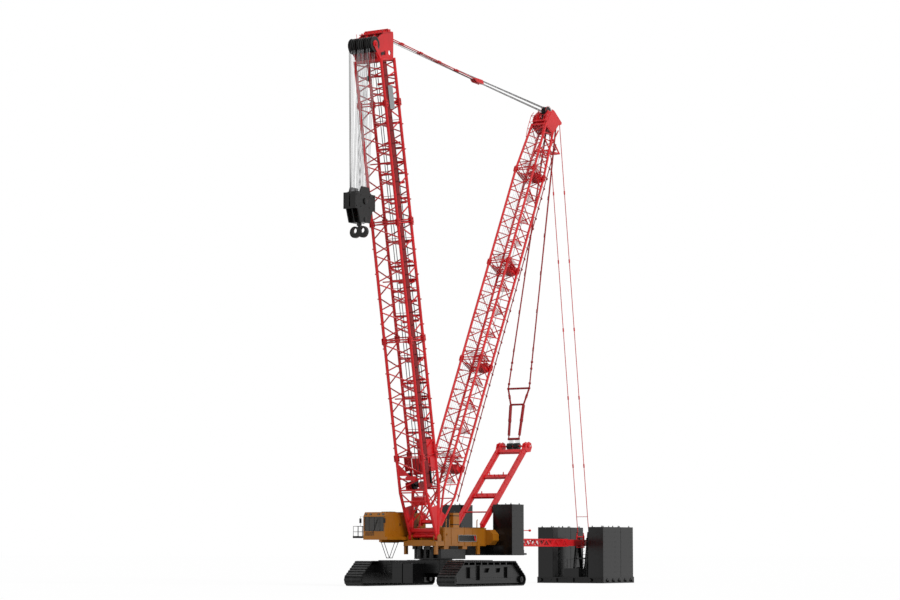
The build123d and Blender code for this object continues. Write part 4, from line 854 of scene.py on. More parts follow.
@dataclass
class Undercarriage:
    """Crawlers and carbody fittings.

    Attributes:
        top: Height of the carbody's top.
        bolt_circle: Radius of the slewing ring's bolt circle.
        ladder: How far the ladders stand in front of and behind the slewing axis.
        ladder_sides: Distances of a ladder's two rails from the middle.
        standoff: How far a ladder stands off its crossbeam.
    """

    top: float = 1.225
    bolt_circle: float = 0.86
    ladder: float = 1.90
    ladder_sides: tuple[float, float] = (1.35, 1.65)
    standoff: float = 0.10

    def build(self) -> None:
        """Makes both crawlers, the ring bolts, steps and lifting eyes."""
        for side in SIDES:
            Crawler(side).build()
        self.ring_bolts()
        self.steps()
        self.weight_fittings()

    def ring_bolts(self) -> None:
        """Bolts on the ring's flange, and cover plates on the carbody's deck."""
        bolts = Piece("ring_bolts")
        for spot in circle((0, 0, self.top), AHEAD, LEFT, self.bolt_circle, 48):
            bolts.bolt(spot, UP, 0.014, 0.014)
        for x in (-1.0, 0.93):
            for y in (-0.95, 0.55):
                bolts.block((x, y, self.top), (x + 0.12, y + 0.4, self.top + 0.012))
        bolts.build(BLACK, "undercarriage", 0.002)

    def steps(self) -> None:
        """Ladders and hand rails on the crossbeams."""
        rungs = Piece("carbody_steps")
        for end in SIDES:
            for side in SIDES:
                x, off = end * self.ladder, end * (self.ladder + self.standoff)
                near, far = (side * y for y in self.ladder_sides)
                for y in (near, far):
                    rungs.run([(x, y, 0.66), (off, y, 0.70), (off, y, 1.20), (x, y, 1.215)], 0.011)
                for k in range(4):
                    z = 0.76 + k * 0.13
                    rungs.tube((off, near, z), (off, far, z), 0.010)
        rungs.build(BLACK, "undercarriage")

    def weight_fittings(self) -> None:
        """Lifting eyes and ribs on the carbody's weights."""
        _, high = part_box("carbody_weights")
        eyes = Piece("carbody_weight_eyes")
        for end in SIDES:
            for side in SIDES:
                for x in (2.05, 2.70):
                    for y in (0.12, 0.48):
                        eyes.lathe(LIFTING_EYE, (end * x, side * y, high.z), UP, 12)
                face, middle = end * high.x, side * 0.30
                for z in (0.34, 0.88):
                    eyes.block((face - 0.004, middle - 0.22, z), (face + 0.012, middle + 0.22, z + 0.03))
        eyes.build(BLACK, "undercarriage", 0.002)


# ---------------------------------------------------------------- boom and mast
@dataclass
class LatticeDress:
    """Pins, forks and rungs that a straight lattice carries.

    Attributes:
        name: Start of the pieces' names.
        body: Body they ride on.
        axes: Axes of the lattice.
        half_depth: Half the distance between front and rear chords.
        half_width: Half the distance between left and right chords.
        chord: Radius of a chord.
        joints: Distances along the lattice at which its sections meet.
    """

    name: str
    body: str
    axes: Leaning
    half_depth: float
    half_width: float
    chord: float
    joints: Sequence[float]

    def corners(self) -> Iterable[tuple[float, float]]:
        """The four chords' places ahead and to the left."""
        return [(a * self.half_depth, b * self.half_width) for a in SIDES for b in SIDES]

    def bar(self, piece: Piece, low: Point, high: Point, radius: float, sides: int = 8) -> None:
        """Adds a round bar between two places of the lattice.

        Args:
            piece: Mesh that gets the bar.
            low: Its first end, by distances ahead, left and along.
            high: Its last end, likewise.
            radius: Radius of the bar.
            sides: How many sides it has.
        """
        piece.tube(self.axes.at(*low), self.axes.at(*high), radius, sides)

    def section_joints(self) -> None:
        """Forks, eyes and pins where the sections meet."""
        place = self.axes.place()
        forks, pins = Piece(f"{self.name}_joint_forks"), Piece(f"{self.name}_joint_pins")
        wide = self.chord * 1.22
        reach, collar = wide * 1.35, self.chord * 1.18
        for along in self.joints:
            for ahead, left in self.corners():
                for y in (left + wide, left - wide):
                    forks.block((ahead - wide, y - 0.012, along - 0.15),
                                (ahead + wide, y + 0.012, along + 0.15), place)
                for low, high in ((along - 0.20, along - 0.14), (along + 0.14, along + 0.20)):
                    self.bar(forks, (ahead, left, low), (ahead, left, high), collar, 12)
                for row in (along - 0.075, along + 0.075):
                    self.bar(pins, (ahead, left - reach, row), (ahead, left + reach, row), 0.026, 10)
        forks.build(RED, self.body, 0.004)
        pins.build(SHEAVE, self.body)

    def chord_clips(self, pitch: float, start: float, end: float, ahead: float, left: float,
                    reach: float) -> None:
        """Short clips that stand out beside one chord.

        Args:
            pitch: Distance between clips.
            start: Where the row begins.
            end: Where it ends.
            ahead: The chord's place ahead.
            left: The chord's place to the left.
            reach: How far a clip stands out to the left of the chord.
        """
        face, hand = "front" if ahead > 0 else "rear", "left" if left > 0 else "right"
        clips = Piece(f"{self.name}_clips_{face}_{hand}")
        tip = left + reach * 0.8
        for k in range(int((end - start) / pitch)):
            along = start + k * pitch
            self.bar(clips, (ahead, left, along), (ahead, left + reach, along), 0.020, 8)
            self.bar(clips, (ahead, tip, along - 0.03), (ahead, tip, along + 0.03), 0.028, 8)
        clips.build(RED, self.body)


# Opposite corners of the base section's panels, by distances ahead, left and along.
BASE_PANELS = (((-0.50, 0.20, 3.55), (0.10, 0.70, 4.65)), ((-0.52, -0.55, 2.95), (-0.44, 0.45, 3.75)),
               ((0.20, 0.745, 3.35), (0.50, 0.765, 3.80)), ((-0.30, -0.40, 1.55), (0.10, 0.30, 1.95)),
               ((-0.06, -0.60, 0.10), (-0.03, 0.60, 0.30)))
ROPE_GUIDE = ((-0.06, 0.20), (-0.03, 0.20), (-0.02, 0.155), (0.02, 0.155), (0.03, 0.20), (0.06, 0.20))
HEAD_COVER = ((0.0, 0.375), (0.010, 0.370), (0.014, 0.30), (0.006, 0.29), (0.006, 0.18))


@dataclass
class Boom(LatticeDress):
    """Fittings of the boom.

    Attributes:
        base_end: Where the base section ends, along the boom.
        head_top: Where the head's plates begin.
        tread_pitch: Distance between the tread plates.
        clip_pitch: Distance between the clips on the chords.
        axle: The head sheaves' axle, by distances ahead, left and along.
    """

    base_end: float = 3.9
    head_top: float = 22.8
    tread_pitch: float = 0.94
    clip_pitch: float = 1.19
    axle: tuple[float, float, float] = (0.78, 0.0, 23.49)

    def build(self) -> None:
        """Makes every fitting of the boom."""
        self.section_joints()
        self.cable_tray()
        self.ropes()
        self.chord_clips(self.clip_pitch, 4.4, 22.2, self.half_depth, -self.half_width, -0.13)
        self.chord_clips(self.clip_pitch, 4.2, 22.2, -self.half_depth, self.half_width, 0.14)
        self.diaphragms()
        self.treads()
        self.side_sign()
        self.base_fittings()
        self.head_fittings()

    def cable_tray(self) -> None:
        """Deep ladder tray behind the front left chord, with its brackets."""
        place = self.axes.place()
        tray, hoses = Piece("boom_cable_tray"), Piece("boom_hoses")
        low, high, left = 0.17, 0.475, self.half_width - 0.035
        outer, wall, gap = left + 0.075, 0.012, 0.06
        for start, end in zip((2.35, *self.joints), (*self.joints, self.head_top - 0.1)):
            start, end = start + gap, end - gap
            tray.block((low, left, start), (low + wall, outer, end), place)
            tray.block((high - wall, left, start), (high, outer, end), place)
            tray.block((low, left + 0.065, start), (high, outer, end), place)
            count = int((end - start) / 0.6)
            for k in range(count + 1):
                along = start + 0.04 + (end - start - 0.08) * k / count
                tray.block((low, left, along - 0.015), (self.half_depth - 0.03, outer, along + 0.015), place)
        for k in range(3):
            ahead = low + 0.06 + 0.09 * k
            self.bar(hoses, (ahead, left + 0.03, 2.4), (ahead, left + 0.03, self.head_top - 0.15), 0.014, 8)
        tray.build(TRAY_RED, self.body)
        hoses.build(RUBBER, self.body)

    def ropes(self) -> None:
        """Hoist ropes that run up inside the boom, and the rollers that guide them."""
        lines, rollers = Piece("boom_inner_ropes"), Piece("boom_rope_rollers")
        places = ((0.10, 0.02), (-0.12, 0.06), (-0.40, 0.50), (-0.46, 0.60))
        for ahead, left in places:
            self.bar(lines, (ahead, left, 2.45), (ahead * 0.6, left * 0.7, 23.1), 0.018, 6)
        wide = self.half_width
        for along in (6.7, 12.3, 17.9, 22.0):
            for ahead in (0.16, -0.52):
                self.bar(rollers, (ahead, -wide, along), (ahead, wide, along), 0.032, 10)
                self.bar(rollers, (ahead, -0.2, along), (ahead, 0.66, along), 0.05, 12)
        lines.build(DARK_ROPE, self.body)
        rollers.build(RED, self.body)

    def diaphragms(self) -> None:
        """Stout tubes that cross inside the sections, from the rear right chord to the front left one."""
        tubes, pitch = Piece("boom_diaphragms"), 1.4
        deep, wide = self.half_depth, self.half_width
        for start, end in zip(self.joints, (*self.joints[1:], self.head_top)):
            for k in range(int((end - start) / pitch)):
                along = start + 0.35 + pitch * k
                self.bar(tubes, (-deep, -wide, along + 0.20), (deep, wide, along), 0.048, 10)
        tubes.build(RED, self.body)

    def treads(self) -> None:
        """Tread plates with turned-up lips, one above the other inside the left face."""
        place, plates = self.axes.place(), Piece("boom_treads")
        back, front, right, left = -self.half_depth + 0.06, 0.13, 0.10, self.half_width - 0.08
        plate, lip = 0.03, 0.11
        along = self.base_end + 0.75
        while along < self.head_top - 0.4:
            plates.block((back, right, along), (front, left, along + plate), place)
            plates.block((back, right, along), (back + plate, left, along + lip), place)
            plates.block((front - plate, right, along), (front, left, along + lip), place)
            along += self.tread_pitch
        plates.build(RED, self.body)

    def side_sign(self) -> None:
        """Blank sign plate on the left face near the head."""
        sign = Piece("boom_side_plate")
        left = self.half_width + self.chord
        sign.block((-0.05, left - 0.01, 20.42), (0.32, left + 0.015, 21.52), self.axes.place())
        sign.build(SIGN_GREY, self.body, 0.004)
        bars, wide = Piece("boom_side_plate_frame"), self.half_width
        for along in (20.50, 21.44):
            self.bar(bars, (-self.half_depth, wide, along), (self.half_depth, wide, along), 0.022)
        bars.build(RED, self.body)

    def base_fittings(self) -> None:
        """Panels, foot bar, rope guides and control boxes in the base."""
        place = self.axes.place()
        deck = Piece("boom_base_panels")
        for low, high in BASE_PANELS:
            deck.block(low, high, place)
        deck.build(RED, self.body, 0.012)
        foot, rise = Piece("boom_foot_bar"), 0.07
        self.bar(foot, (0, -0.60, rise), (0, 0.60, rise), 0.085, 20)
        for left in (-0.60, -0.20, 0.20, 0.575):
            self.bar(foot, (0, left, rise), (0, left + 0.025, rise), 0.105, 20)
        foot.build(RED, self.body)
        guides, ahead, rise = Piece("boom_rope_guides"), 0.05, 2.52
        for left in (-0.2, 0.2):
            guides.lathe(ROPE_GUIDE, self.axes.at(ahead, left, rise), LEFT, 28)
        self.bar(guides, (ahead, -0.37, rise), (ahead, 0.37, rise), 0.05, 14)
        guides.build(SHEAVE, self.body)
        box = Piece("boom_control_box")
        box.block((0.10, 0.76, 2.62), (0.16, 0.84, 3.22), place)
        box.block((-0.20, -0.64, 2.75), (0.02, -0.52, 3.10), place)
        box.build(BLACK, self.body, 0.006)

    def head_fittings(self) -> None:
        """Rope guards, rails, lamps, end covers and bolts of the head."""
        place, axle = self.axes.place(), Vector(self.axle)
        guards = Piece("boom_rope_guards")
        for low, high in ((-0.60, -0.26), (-0.20, 0.20), (0.26, 0.60)):
            for turn in (112, 150):
                spot = axle + turned(turn) * 0.385
                self.bar(guards, spot + LEFT * low, spot + LEFT * high, 0.014)
        guards.build(RED, self.body)
        rails = Piece("boom_head_rails")
        deck = 24.03
        for k in range(6):
            y = -0.55 + 0.22 * k
            self.bar(rails, (-0.22, y, deck), (-0.22, y, deck + 0.10), 0.045)
            self.bar(rails, (0.0, y, deck), (0.0, y, deck + 0.06), 0.035)
            self.bar(rails, (-0.70, y, 23.90), (-0.80, y, 23.90), 0.040)
        for rise in (24.10, 24.16):
            self.bar(rails, (-0.42, -0.66, rise), (-0.42, 0.66, rise), 0.028)
        self.bar(rails, (0.55, -0.50, 23.84), (0.55, -0.50, 24.06), 0.012)
        rails.build(RED, self.body)
        lamps = Piece("boom_lamps")
        lamps.block((0.30, -0.70, 23.02), (0.42, -0.58, 23.12), place)
        lamps.block((0.30, 0.70, 22.95), (0.42, 0.74, 23.10), place)
        lamps.build(RUBBER, self.body)
        covers = Piece("boom_head_end_covers")
        for side in SIDES:
            covers.lathe(HEAD_COVER, self.axes.at(axle.x, side * 0.641, axle.z), LEFT * side, 40)
        covers.build(SHEAVE, self.body)
        bolts = Piece("boom_head_bolts")
        for side in SIDES:
            for spot in circle(axle + LEFT * (side * 0.72), AHEAD, UP, 0.065, 8):
                bolts.bolt(self.axes.at(*spot), LEFT * side, 0.012, 0.01)
            for ahead, along in ((0.45, 22.75), (0.55, 22.95), (0.62, 23.15), (-0.50, 22.74), (-0.2, 22.74)):
                bolts.bolt(self.axes.at(ahead, side * 0.64, along), LEFT * side, 0.018, 0.012)
        bolts.build(SHEAVE, self.body)


@dataclass
class Mast(LatticeDress):
    """Fittings of the mast.

    Attributes:
        tread_pitch: Distance between the tread plates.
        clip_pitch: Distance between the clips on the front right chord.
        saddle_pitch: Distance between the saddles of the linked bar.
        axle: The head sheaves' axle, by distances ahead, left and along.
        guard: Distance of the rope guards from the axle.
    """

    tread_pitch: float = 1.37
    clip_pitch: float = 1.10
    saddle_pitch: float = 0.62
    axle: tuple[float, float, float] = (0.06, 0.0, 24.45)
    guard: float = 0.325

    def build(self) -> None:
        """Makes every fitting of the mast."""
        self.section_joints()
        self.ropes()
        self.rear_pendant()
        self.platforms()
        self.chord_clips(self.clip_pitch, 3.0, 22.6, self.half_depth, -self.half_width, 0.30)
        self.head_fittings()

    def ropes(self) -> None:
        """Bundle of boom-hoist ropes inside the mast."""
        lines = Piece("mast_inner_ropes")
        for k in range(5):
            self.bar(lines, (0.36, -0.54 + 0.12 * k, 2.0), (0.30, -0.36 + 0.11 * k, 24.1), 0.007, 6)
        lines.build(ROPE, self.body)
        dark = Piece("mast_dark_rope")
        self.bar(dark, (-0.2, 0.36, 2.0), (-0.1, 0.22, 24.0), 0.011, 6)
        dark.build(DARK_ROPE, self.body)

    def rear_pendant(self) -> None:
        """Linked bar that lies along the rear left chord, with its saddles."""
        bar = Piece("mast_rear_bar")
        ahead, left = -self.half_depth - 0.33, self.half_width - 0.01
        self.bar(bar, (ahead, left, 1.9), (ahead, left * 0.92, 23.0), 0.026, 8)
        along = 2.2
        while along < 22.8:
            self.bar(bar, (ahead, left, along - 0.04), (ahead, left, along + 0.04), 0.042, 10)
            self.bar(bar, (-self.half_depth + 0.08, left, along), (ahead, left, along), 0.014, 6)
            along += self.saddle_pitch
        bar.build(STAY_RED, self.body)

    def platforms(self) -> None:
        """Tread plates inside the left face, and the landings at the section joints."""
        place = self.axes.place()
        plates = Piece("mast_treads")
        along = 2.6
        while along < 22.5:
            for k in range(7):
                plates.block((-0.30 + 0.10 * k, 0.10, along), (-0.27 + 0.10 * k, 0.52, along + 0.016), place)
            for left in (0.10, 0.50):
                plates.block((-0.30, left, along), (0.34, left + 0.02, along + 0.03), place)
            self.bar(plates, (-0.32, 0.52, along), (0.36, 0.52, along + 0.20), 0.030, 8)
            along += self.tread_pitch
        for joint in self.joints:
            for along in (joint - 0.30, joint + 0.34):
                for k in range(9):
                    ahead = -0.46 + 0.11 * k
                    plates.block((ahead, -0.36, along), (ahead + 0.03, 0.50, along + 0.02), place)
            plates.block((-0.50, 0.02, joint - 0.24), (-0.12, 0.50, joint + 0.06), place)
        plates.build(RED, self.body)
        grids = Piece("mast_landing_bars")
        deep, wide = self.half_depth, self.half_width
        for joint in self.joints:
            low, high = joint - 0.26, joint + 0.42
            for k in range(7):
                left = -0.42 + 0.14 * k
                self.bar(grids, (-deep, left, low), (deep, left, low), 0.016, 6)
            for end in SIDES:
                self.bar(grids, (end * deep, -wide, high), (end * deep, wide, high), 0.024, 6)
        grids.build(STAY_RED, self.body)

    def head_fittings(self) -> None:
        """Rope guards and rails of the mast head."""
        guards, axle = Piece("mast_rope_guards"), Vector(self.axle)
        spot = axle + turned(160) * self.guard
        self.bar(guards, spot - LEFT * 0.15, spot + LEFT * 0.15, 0.013)
        for side in SIDES:
            arc = [axle + turned(turn) * self.guard + LEFT * (side * 0.14) for turn in range(-20, 165, 15)]
            guards.run([self.axes.at(*spot) for spot in arc], 0.010, 6)
        guards.build(RED, self.body)
        rails = Piece("mast_head_rails")
        ahead, left, rows = 0.62, 0.47, (23.1, 23.5, 23.9)
        for side in SIDES:
            y = side * left
            route = ((0.55, y, 22.6), (ahead, y, rows[0]), (ahead, y, rows[-1]), (0.48, y, 24.2))
            rails.run([self.axes.at(*spot) for spot in route], 0.016)
            for along in rows:
                self.bar(rails, (ahead, y, along), (0.42, side * 0.42, along), 0.012)
        for along in rows:
            self.bar(rails, (ahead, -left, along), (ahead, left, along), 0.012)
        for y in (-0.40, 0.40):
            self.bar(rails, (-0.42, y, 22.0), (-0.86, y, 23.9), 0.035)
        rails.build(RED, self.body)


# ---------------------------------------------------------------- upper machine
LAMP_SHELL = ((-0.05, 0.022), (-0.03, 0.05), (0.03, 0.055), (0.045, 0.055), (0.045, 0.045))
STICK_GRIP = ((0, 0.012), (0.02, 0.020), (0.05, 0.018), (0.06, 0.008))


@dataclass
class Cab:
    """Window rubbers, wiper, lamps, mirrors, seams and controls of the operator's cab.

    Attributes:
        front: The cab's front face.
        back: Its rear face.
        outer: Its outer side.
        inner: Its inner side.
        low: Its floor.
        high: Its roof.
    """

    front: float = 2.85
    back: float = 1.76
    outer: float = -2.265
    inner: float = -1.03
    low: float = 2.33
    high: float = 3.49

    def build(self) -> None:
        """Makes every fitting of the cab."""
        self.window_rubbers()
        self.wiper_and_bars()
        self.lamps_and_mirrors()
        self.roof_and_seams()
        self.door_fittings()
        self.controls()

    def window_rubbers(self) -> None:
        """Rubber round the windscreen, its centre bar and the grille below it."""
        low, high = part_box("cab_glass")
        x, middle = self.front, (low.y + high.y) / 2
        rubber = Piece("cab_window_rubber")
        for a, b in rim((low.y, low.z), (high.y, high.z), 0.026):
            rubber.block((x - 0.012, *a), (x + 0.008, *b))
        rubber.block((x - 0.014, middle - 0.012, low.z), (x + 0.004, middle + 0.012, high.z))
        rubber.build(RUBBER, "upper", 0.003)
        tread = Piece("cab_lower_grille")
        for k in range(7):
            z = self.low + 0.06 + 0.026 * k
            tread.block((x - 0.004, self.outer + 0.12, z), (x + 0.006, self.outer + 0.62, z + 0.010))
        tread.build(BLACK, "upper")

    def wiper_and_bars(self) -> None:
        """Wiper on its arm, and the guard bars over the windscreen."""
        low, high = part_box("cab_glass")
        x = self.front + 0.02
        wiper, pivot = Piece("cab_wiper"), (x, -1.70, low.z - 0.06)
        wiper.run([pivot, (x + 0.012, -1.66, low.z + 0.05), (x + 0.012, -1.50, high.z - 0.12)], 0.007, 6)
        wiper.run([(x + 0.004, -1.62, low.z + 0.12), (x + 0.004, -1.44, high.z - 0.03)], 0.009, 6)
        wiper.lathe([(-0.02, 0.02), (0.012, 0.02), (0.018, 0.012)], pivot, AHEAD, 14)
        for y in (-1.95, -1.35):
            wiper.tube((x + 0.01, y, low.z - 0.04), (x + 0.01, y, high.z + 0.04), 0.007, 6)
        wiper.build(RUBBER, "upper")

    def lamps_and_mirrors(self) -> None:
        """Work lamps on the brow and mirrors on both front corners."""
        lamps, glass, mirrors = Piece("cab_lamp_shells"), Piece("cab_lamp_glass"), Piece("cab_mirrors")
        beam, front = (1, 0, -0.15), self.front
        for y in (-2.14, -1.88, -1.42, -1.16):
            centre = Vector((front - 0.075, y, self.high - 0.10))
            lamps.lathe(LAMP_SHELL, centre, beam, 18)
            lamps.tube(centre - UP * 0.04, centre - AHEAD * 0.03 - UP * 0.09, 0.008)
            glass.lathe([(0.036, 0.044), (0.044, 0.040), (0.049, 0.02)], centre, beam, 18)
        for y, off in ((self.outer + 0.03, self.outer - 0.07), (self.inner - 0.03, self.inner + 0.07)):
            mirrors.run([(front - 0.03, y, 3.26), (front + 0.14, off, 3.30), (front + 0.14, off, 2.84),
                         (front - 0.01, y, 2.78)], 0.008)
            mirrors.block((front + 0.128, off - 0.055, 2.98), (front + 0.152, off + 0.055, 3.20))
        lamps.build(BLACK, "upper")
        glass.build(LAMP, "upper")
        mirrors.build(BLACK, "upper", 0.004)

    def roof_and_seams(self) -> None:
        """Pressed seams of the panels and the roof's edge."""
        seams, back, front, low, high = Piece("cab_seams"), self.back, self.front, self.low, self.high
        foot, top, wide, edge = self.inner - 0.002, self.inner + 0.007, 0.012, 0.03
        for z in (low + 0.30, high - 0.22):
            seams.block((back + edge, foot, z), (front - edge, top, z + wide))
        for x in (back + 0.32, back + 0.76):
            seams.block((x, foot, low + edge), (x + wide, top, high - edge))
        seams.block((front - wide, self.outer + 0.05, low + 0.255),
                    (front + 0.006, self.inner - 0.05, low + 0.27))
        seams.block((back, self.outer, high - 0.004), (front - 0.14, self.inner, high + 0.008))
        seams.build(YELLOW, "upper", 0.003)

    def door_fittings(self) -> None:
        """Window rubber and handle of the sliding door."""
        low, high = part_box("cab_door")
        rubber = Piece("cab_door_rubber")
        y, x, inset = low.y, low.x + 0.10, 0.072
        for a, b in rim((low.x + inset, 2.762), (high.x - inset, high.z - inset), 0.017):
            rubber.block((a[0], y - 0.006, a[1]), (b[0], y + 0.012, b[1]))
        rubber.run([(x, y, 2.52), (x, y - 0.03, 2.54), (x, y - 0.03, 2.68), (x, y, 2.70)], 0.008)
        rubber.build(RUBBER, "cab_door", 0.002)

    def controls(self) -> None:
        """Two joysticks, a screen and the seat's arm rests."""
        stick = Piece("cab_controls")
        for y in (-1.82, -1.48):
            stick.block((2.16, y - 0.03, 2.56), (2.44, y + 0.03, 2.60))
            stick.run([(2.40, y, 2.60), (2.41, y, 2.66), (2.42, y, 2.70)], 0.010)
            stick.lathe(STICK_GRIP, (2.42, y, 2.69), UP, 12)
        stick.block((2.60, -1.72, 2.70), (2.625, -1.50, 2.86))
        stick.build(RUBBER, "upper", 0.006)


MOTOR_CAP = ((-0.03, 0.11), (0.02, 0.11), (0.03, 0.085), (0.06, 0.08), (0.065, 0.06), (0.068, 0.03))


@dataclass
class MachineDeck:
    """Doors, louvres, gratings, hoses and plates on the machinery house and the main frame.

    Attributes:
        house_back: Rear face of the house.
        house_roof_z: Height of its roof.
        door_pitch: Distance between its side doors.
        outer: Outer side of the house.
        inner: Inner side of the house.
        frame_half: Half width of the main frame.
        frame_top: Top of its girders.
        walk: Distance of a walkway's middle from the machine's.
        motor: How far the slewing motors stand in front of the slewing axis.
        under: Height of the underside that carries the valve blocks.
    """

    house_back: float = -0.70
    house_roof_z: float = 3.49
    door_pitch: float = 0.60
    outer: float = -2.265
    inner: float = -1.03
    frame_half: float = 0.86
    frame_top: float = 2.78
    walk: float = 0.74
    motor: float = 0.90
    under: float = 1.90

    def build(self) -> None:
        """Makes every fitting of the deck."""
        self.house_doors()
        self.louvres()
        self.house_roof()
        self.girder_plates()
        self.deck_rails()
        self.hoses()
        self.tank_fittings()
        self.under_frame()

    def house_doors(self) -> None:
        """Door leaves, hinges and latches on both sides and the rear."""
        doors, latches = Piece("house_doors"), Piece("house_latches")
        y, foot, top = self.outer, 2.42, 3.40
        for k in range(3):
            x = self.house_back + 0.06 + k * self.door_pitch
            doors.block((x, y - 0.012, foot), (x + 0.56, y + 0.004, top))
            for z in (2.55, 3.25):
                latches.tube((x + 0.01, y - 0.018, z - 0.05), (x + 0.01, y - 0.018, z + 0.05), 0.010)
            latches.block((x + 0.46, y - 0.024, 2.86), (x + 0.52, y - 0.010, 2.98))
        for y0, y1 in ((-2.20, -1.67), (-1.63, -1.10)):
            doors.block((self.house_back - 0.012, y0, foot), (self.house_back + 0.004, y1, top))
        for x in (self.house_back + 0.10, 0.12, 0.94):
            doors.block((x, self.inner - 0.004, foot), (x + 0.72, self.inner + 0.012, top - 0.04))
            latches.block((x + 0.62, self.inner + 0.008, 2.84), (x + 0.68, self.inner + 0.024, 2.96))
        doors.build(YELLOW, "upper", 0.006)
        latches.build(BLACK, "upper", 0.002)

    def louvres(self) -> None:
        """Rows of black air louvres on the outer side and the rear."""
        fins = Piece("house_louvres")
        for k in range(3):
            x = self.house_back + 0.12 + k * self.door_pitch
            for row in range(9):
                z = 3.02 + row * 0.036
                fins.block((x, self.outer - 0.014, z), (x + 0.44, self.outer - 0.002, z + 0.020))
        for right, left in ((-2.14, -1.73), (-1.57, -1.16)):
            for row in range(12):
                z = 2.86 + row * 0.040
                fins.block((self.house_back - 0.020, right, z), (self.house_back - 0.010, left, z + 0.022))
        fins.build(BLACK, "upper")

    def house_roof(self) -> None:
        """Exhaust, fan grilles and hatch."""
        roof, pipes = Piece("house_roof_fittings"), Piece("house_exhaust")
        z, reach = self.house_roof_z, 0.17
        for x in (0.20, 0.75):
            centre = Vector((x, -1.95, z))
            roof.lathe([(0, reach), (0.04, reach), (0.04, reach - 0.03), (0.02, reach - 0.035)], centre,
                       UP, 28)
            centre += UP * 0.036
            for spoke in circle(centre, AHEAD, LEFT, reach - 0.02, 12)[:6]:
                roof.tube(centre * 2 - spoke, spoke, 0.004, 6)
        roof.block((1.10, -2.10, z), (1.55, -1.60, z + 0.05))
        roof.build(BLACK, "upper", 0.003)
        x, y = -0.35, -1.40
        pipes.run([(x, y, z), (x, y, z + 0.26), (x - 0.05, y, z + 0.33), (x - 0.15, y, z + 0.38)], 0.05, 16)
        pipes.lathe([(0, 0.10), (0.16, 0.10), (0.18, 0.055)], (x, y, z), UP, 24)
        pipes.build(SHEAVE, "upper")

    def girder_plates(self) -> None:
        """Flanges, stiffeners, pin caps and the blank name plate on the left girder."""
        plates, rear, step, front, plate = Piece("girder_plates"), -3.2, 0.64, 1.5, 0.018
        for side in SIDES:
            y, out = side * self.frame_half, side * (self.frame_half + plate)
            for z0, z1, x0, x1 in ((1.90, 1.925, rear, front), (2.755, 2.78, rear, step),
                                   (2.12, 2.14, step, front)):
                plates.block((x0, y, z0), (x1, out, z1))
            for x in (-3.05, -1.95, -1.25, -0.05, 0.55, 1.40):
                plates.block((x, y, 1.92), (x + 0.022, out, 2.12 if x > step else 2.76))
        plates.build(YELLOW, "upper", 0.003)
        caps = Piece("girder_pin_caps")
        for side in SIDES:
            for x, z, r in ((-2.60, 2.05, 0.10), (-0.70, 2.10, 0.07), (0.35, 2.45, 0.07)):
                caps.lathe([(-0.01, r), (0.02, r), (0.028, r * 0.8), (0.028, r * 0.45), (0.045, r * 0.4)],
                           (x, side * self.frame_half, z), LEFT * side, 24)
        for side in SIDES:
            for k in range(14):
                spot = (-3.10 + 0.22 * k, side * (self.frame_half + plate), 1.96)
                caps.bolt(spot, LEFT * side, 0.012, 0.010)
        caps.build(YELLOW, "upper")
        sign, edge, stripe = (Piece(f"girder_plate_{part}") for part in ("blank", "rim", "stripe"))
        y = self.frame_half + plate
        x0, x1, z0, z1 = -2.24, -0.66, 2.13, 2.41
        sign.block((x0, y, z0), (x1, y + 0.012, z1))
        for a, b in rim((x0, z0), (x1, z1), 0.020):
            edge.block((a[0], y, a[1]), (b[0], y + 0.018, b[1]))
        low, high = -z0 - 0.02, -z1 + 0.02
        stripe.prism([(x0 + 0.03, low), (x0 + 0.11, high), (x0 + 0.20, high), (x0 + 0.12, low)], 0, 0.006,
                     Matrix.Translation((0, y + 0.012, 0)) @ Matrix.Rotation(math.radians(-90), 4, "X"))
        sign.build(BLACK, "upper", 0.004)
        edge.build(STEEL, "upper", 0.002)
        stripe.build(RED, "upper")

    def deck_rails(self) -> None:
        """Walkway gratings along the girders and the posts beside them."""
        z = self.frame_top
        grating = Piece("deck_grating")
        for side in SIDES:
            y = side * self.walk
            for k in range(36):
                x = -3.05 + k * 0.06
                grating.block((x, y - 0.09, z), (x + 0.012, y + 0.09, z + 0.016))
            for edge in (-0.10, 0.0, 0.09):
                grating.block((-3.06, y + edge, z), (-0.92, y + edge + 0.008, z + 0.020))
        grating.build(BLACK, "upper")
        posts = Piece("deck_posts")
        for x, y in ((-0.15, 0.68), (0.15, 0.68), (-2.90, 0.52), (-2.90, -0.52)):
            posts.run([(x, y, z), (x, y, z + 0.34), (x - 0.05, y, z + 0.40)], 0.026)
            posts.lathe([(0, 0.045), (0.015, 0.045), (0.02, 0.03)], (x, y, z), UP, 12)
        posts.build(YELLOW, "upper")

    def hoses(self) -> None:
        """Bundles of hydraulic hose from the house to the frame, under the deck."""
        bundle = Piece("hydraulic_hoses")
        drop = ((0.0, -1.06, 2.62), (0.0, -0.98, 2.66), (0.0, -0.90, 2.60), (0.01, -0.885, 2.45),
                (0.02, -0.885, 2.25))
        for k in range(7):
            bundle.run([(0.05 + 0.055 * k + x, y, z) for x, y, z in drop], 0.016, 8)
        lead = ((0.80, 1.0, 1.80), (0.86, 1.0, 1.93), (0.98, 0.9, 1.96), (1.10, 0.8, 1.93))
        for k in range(5):
            bundle.run([(x, (-0.30 + 0.14 * k) * share, z) for x, share, z in lead], 0.014, 8)
        bundle.build(RUBBER, "upper")

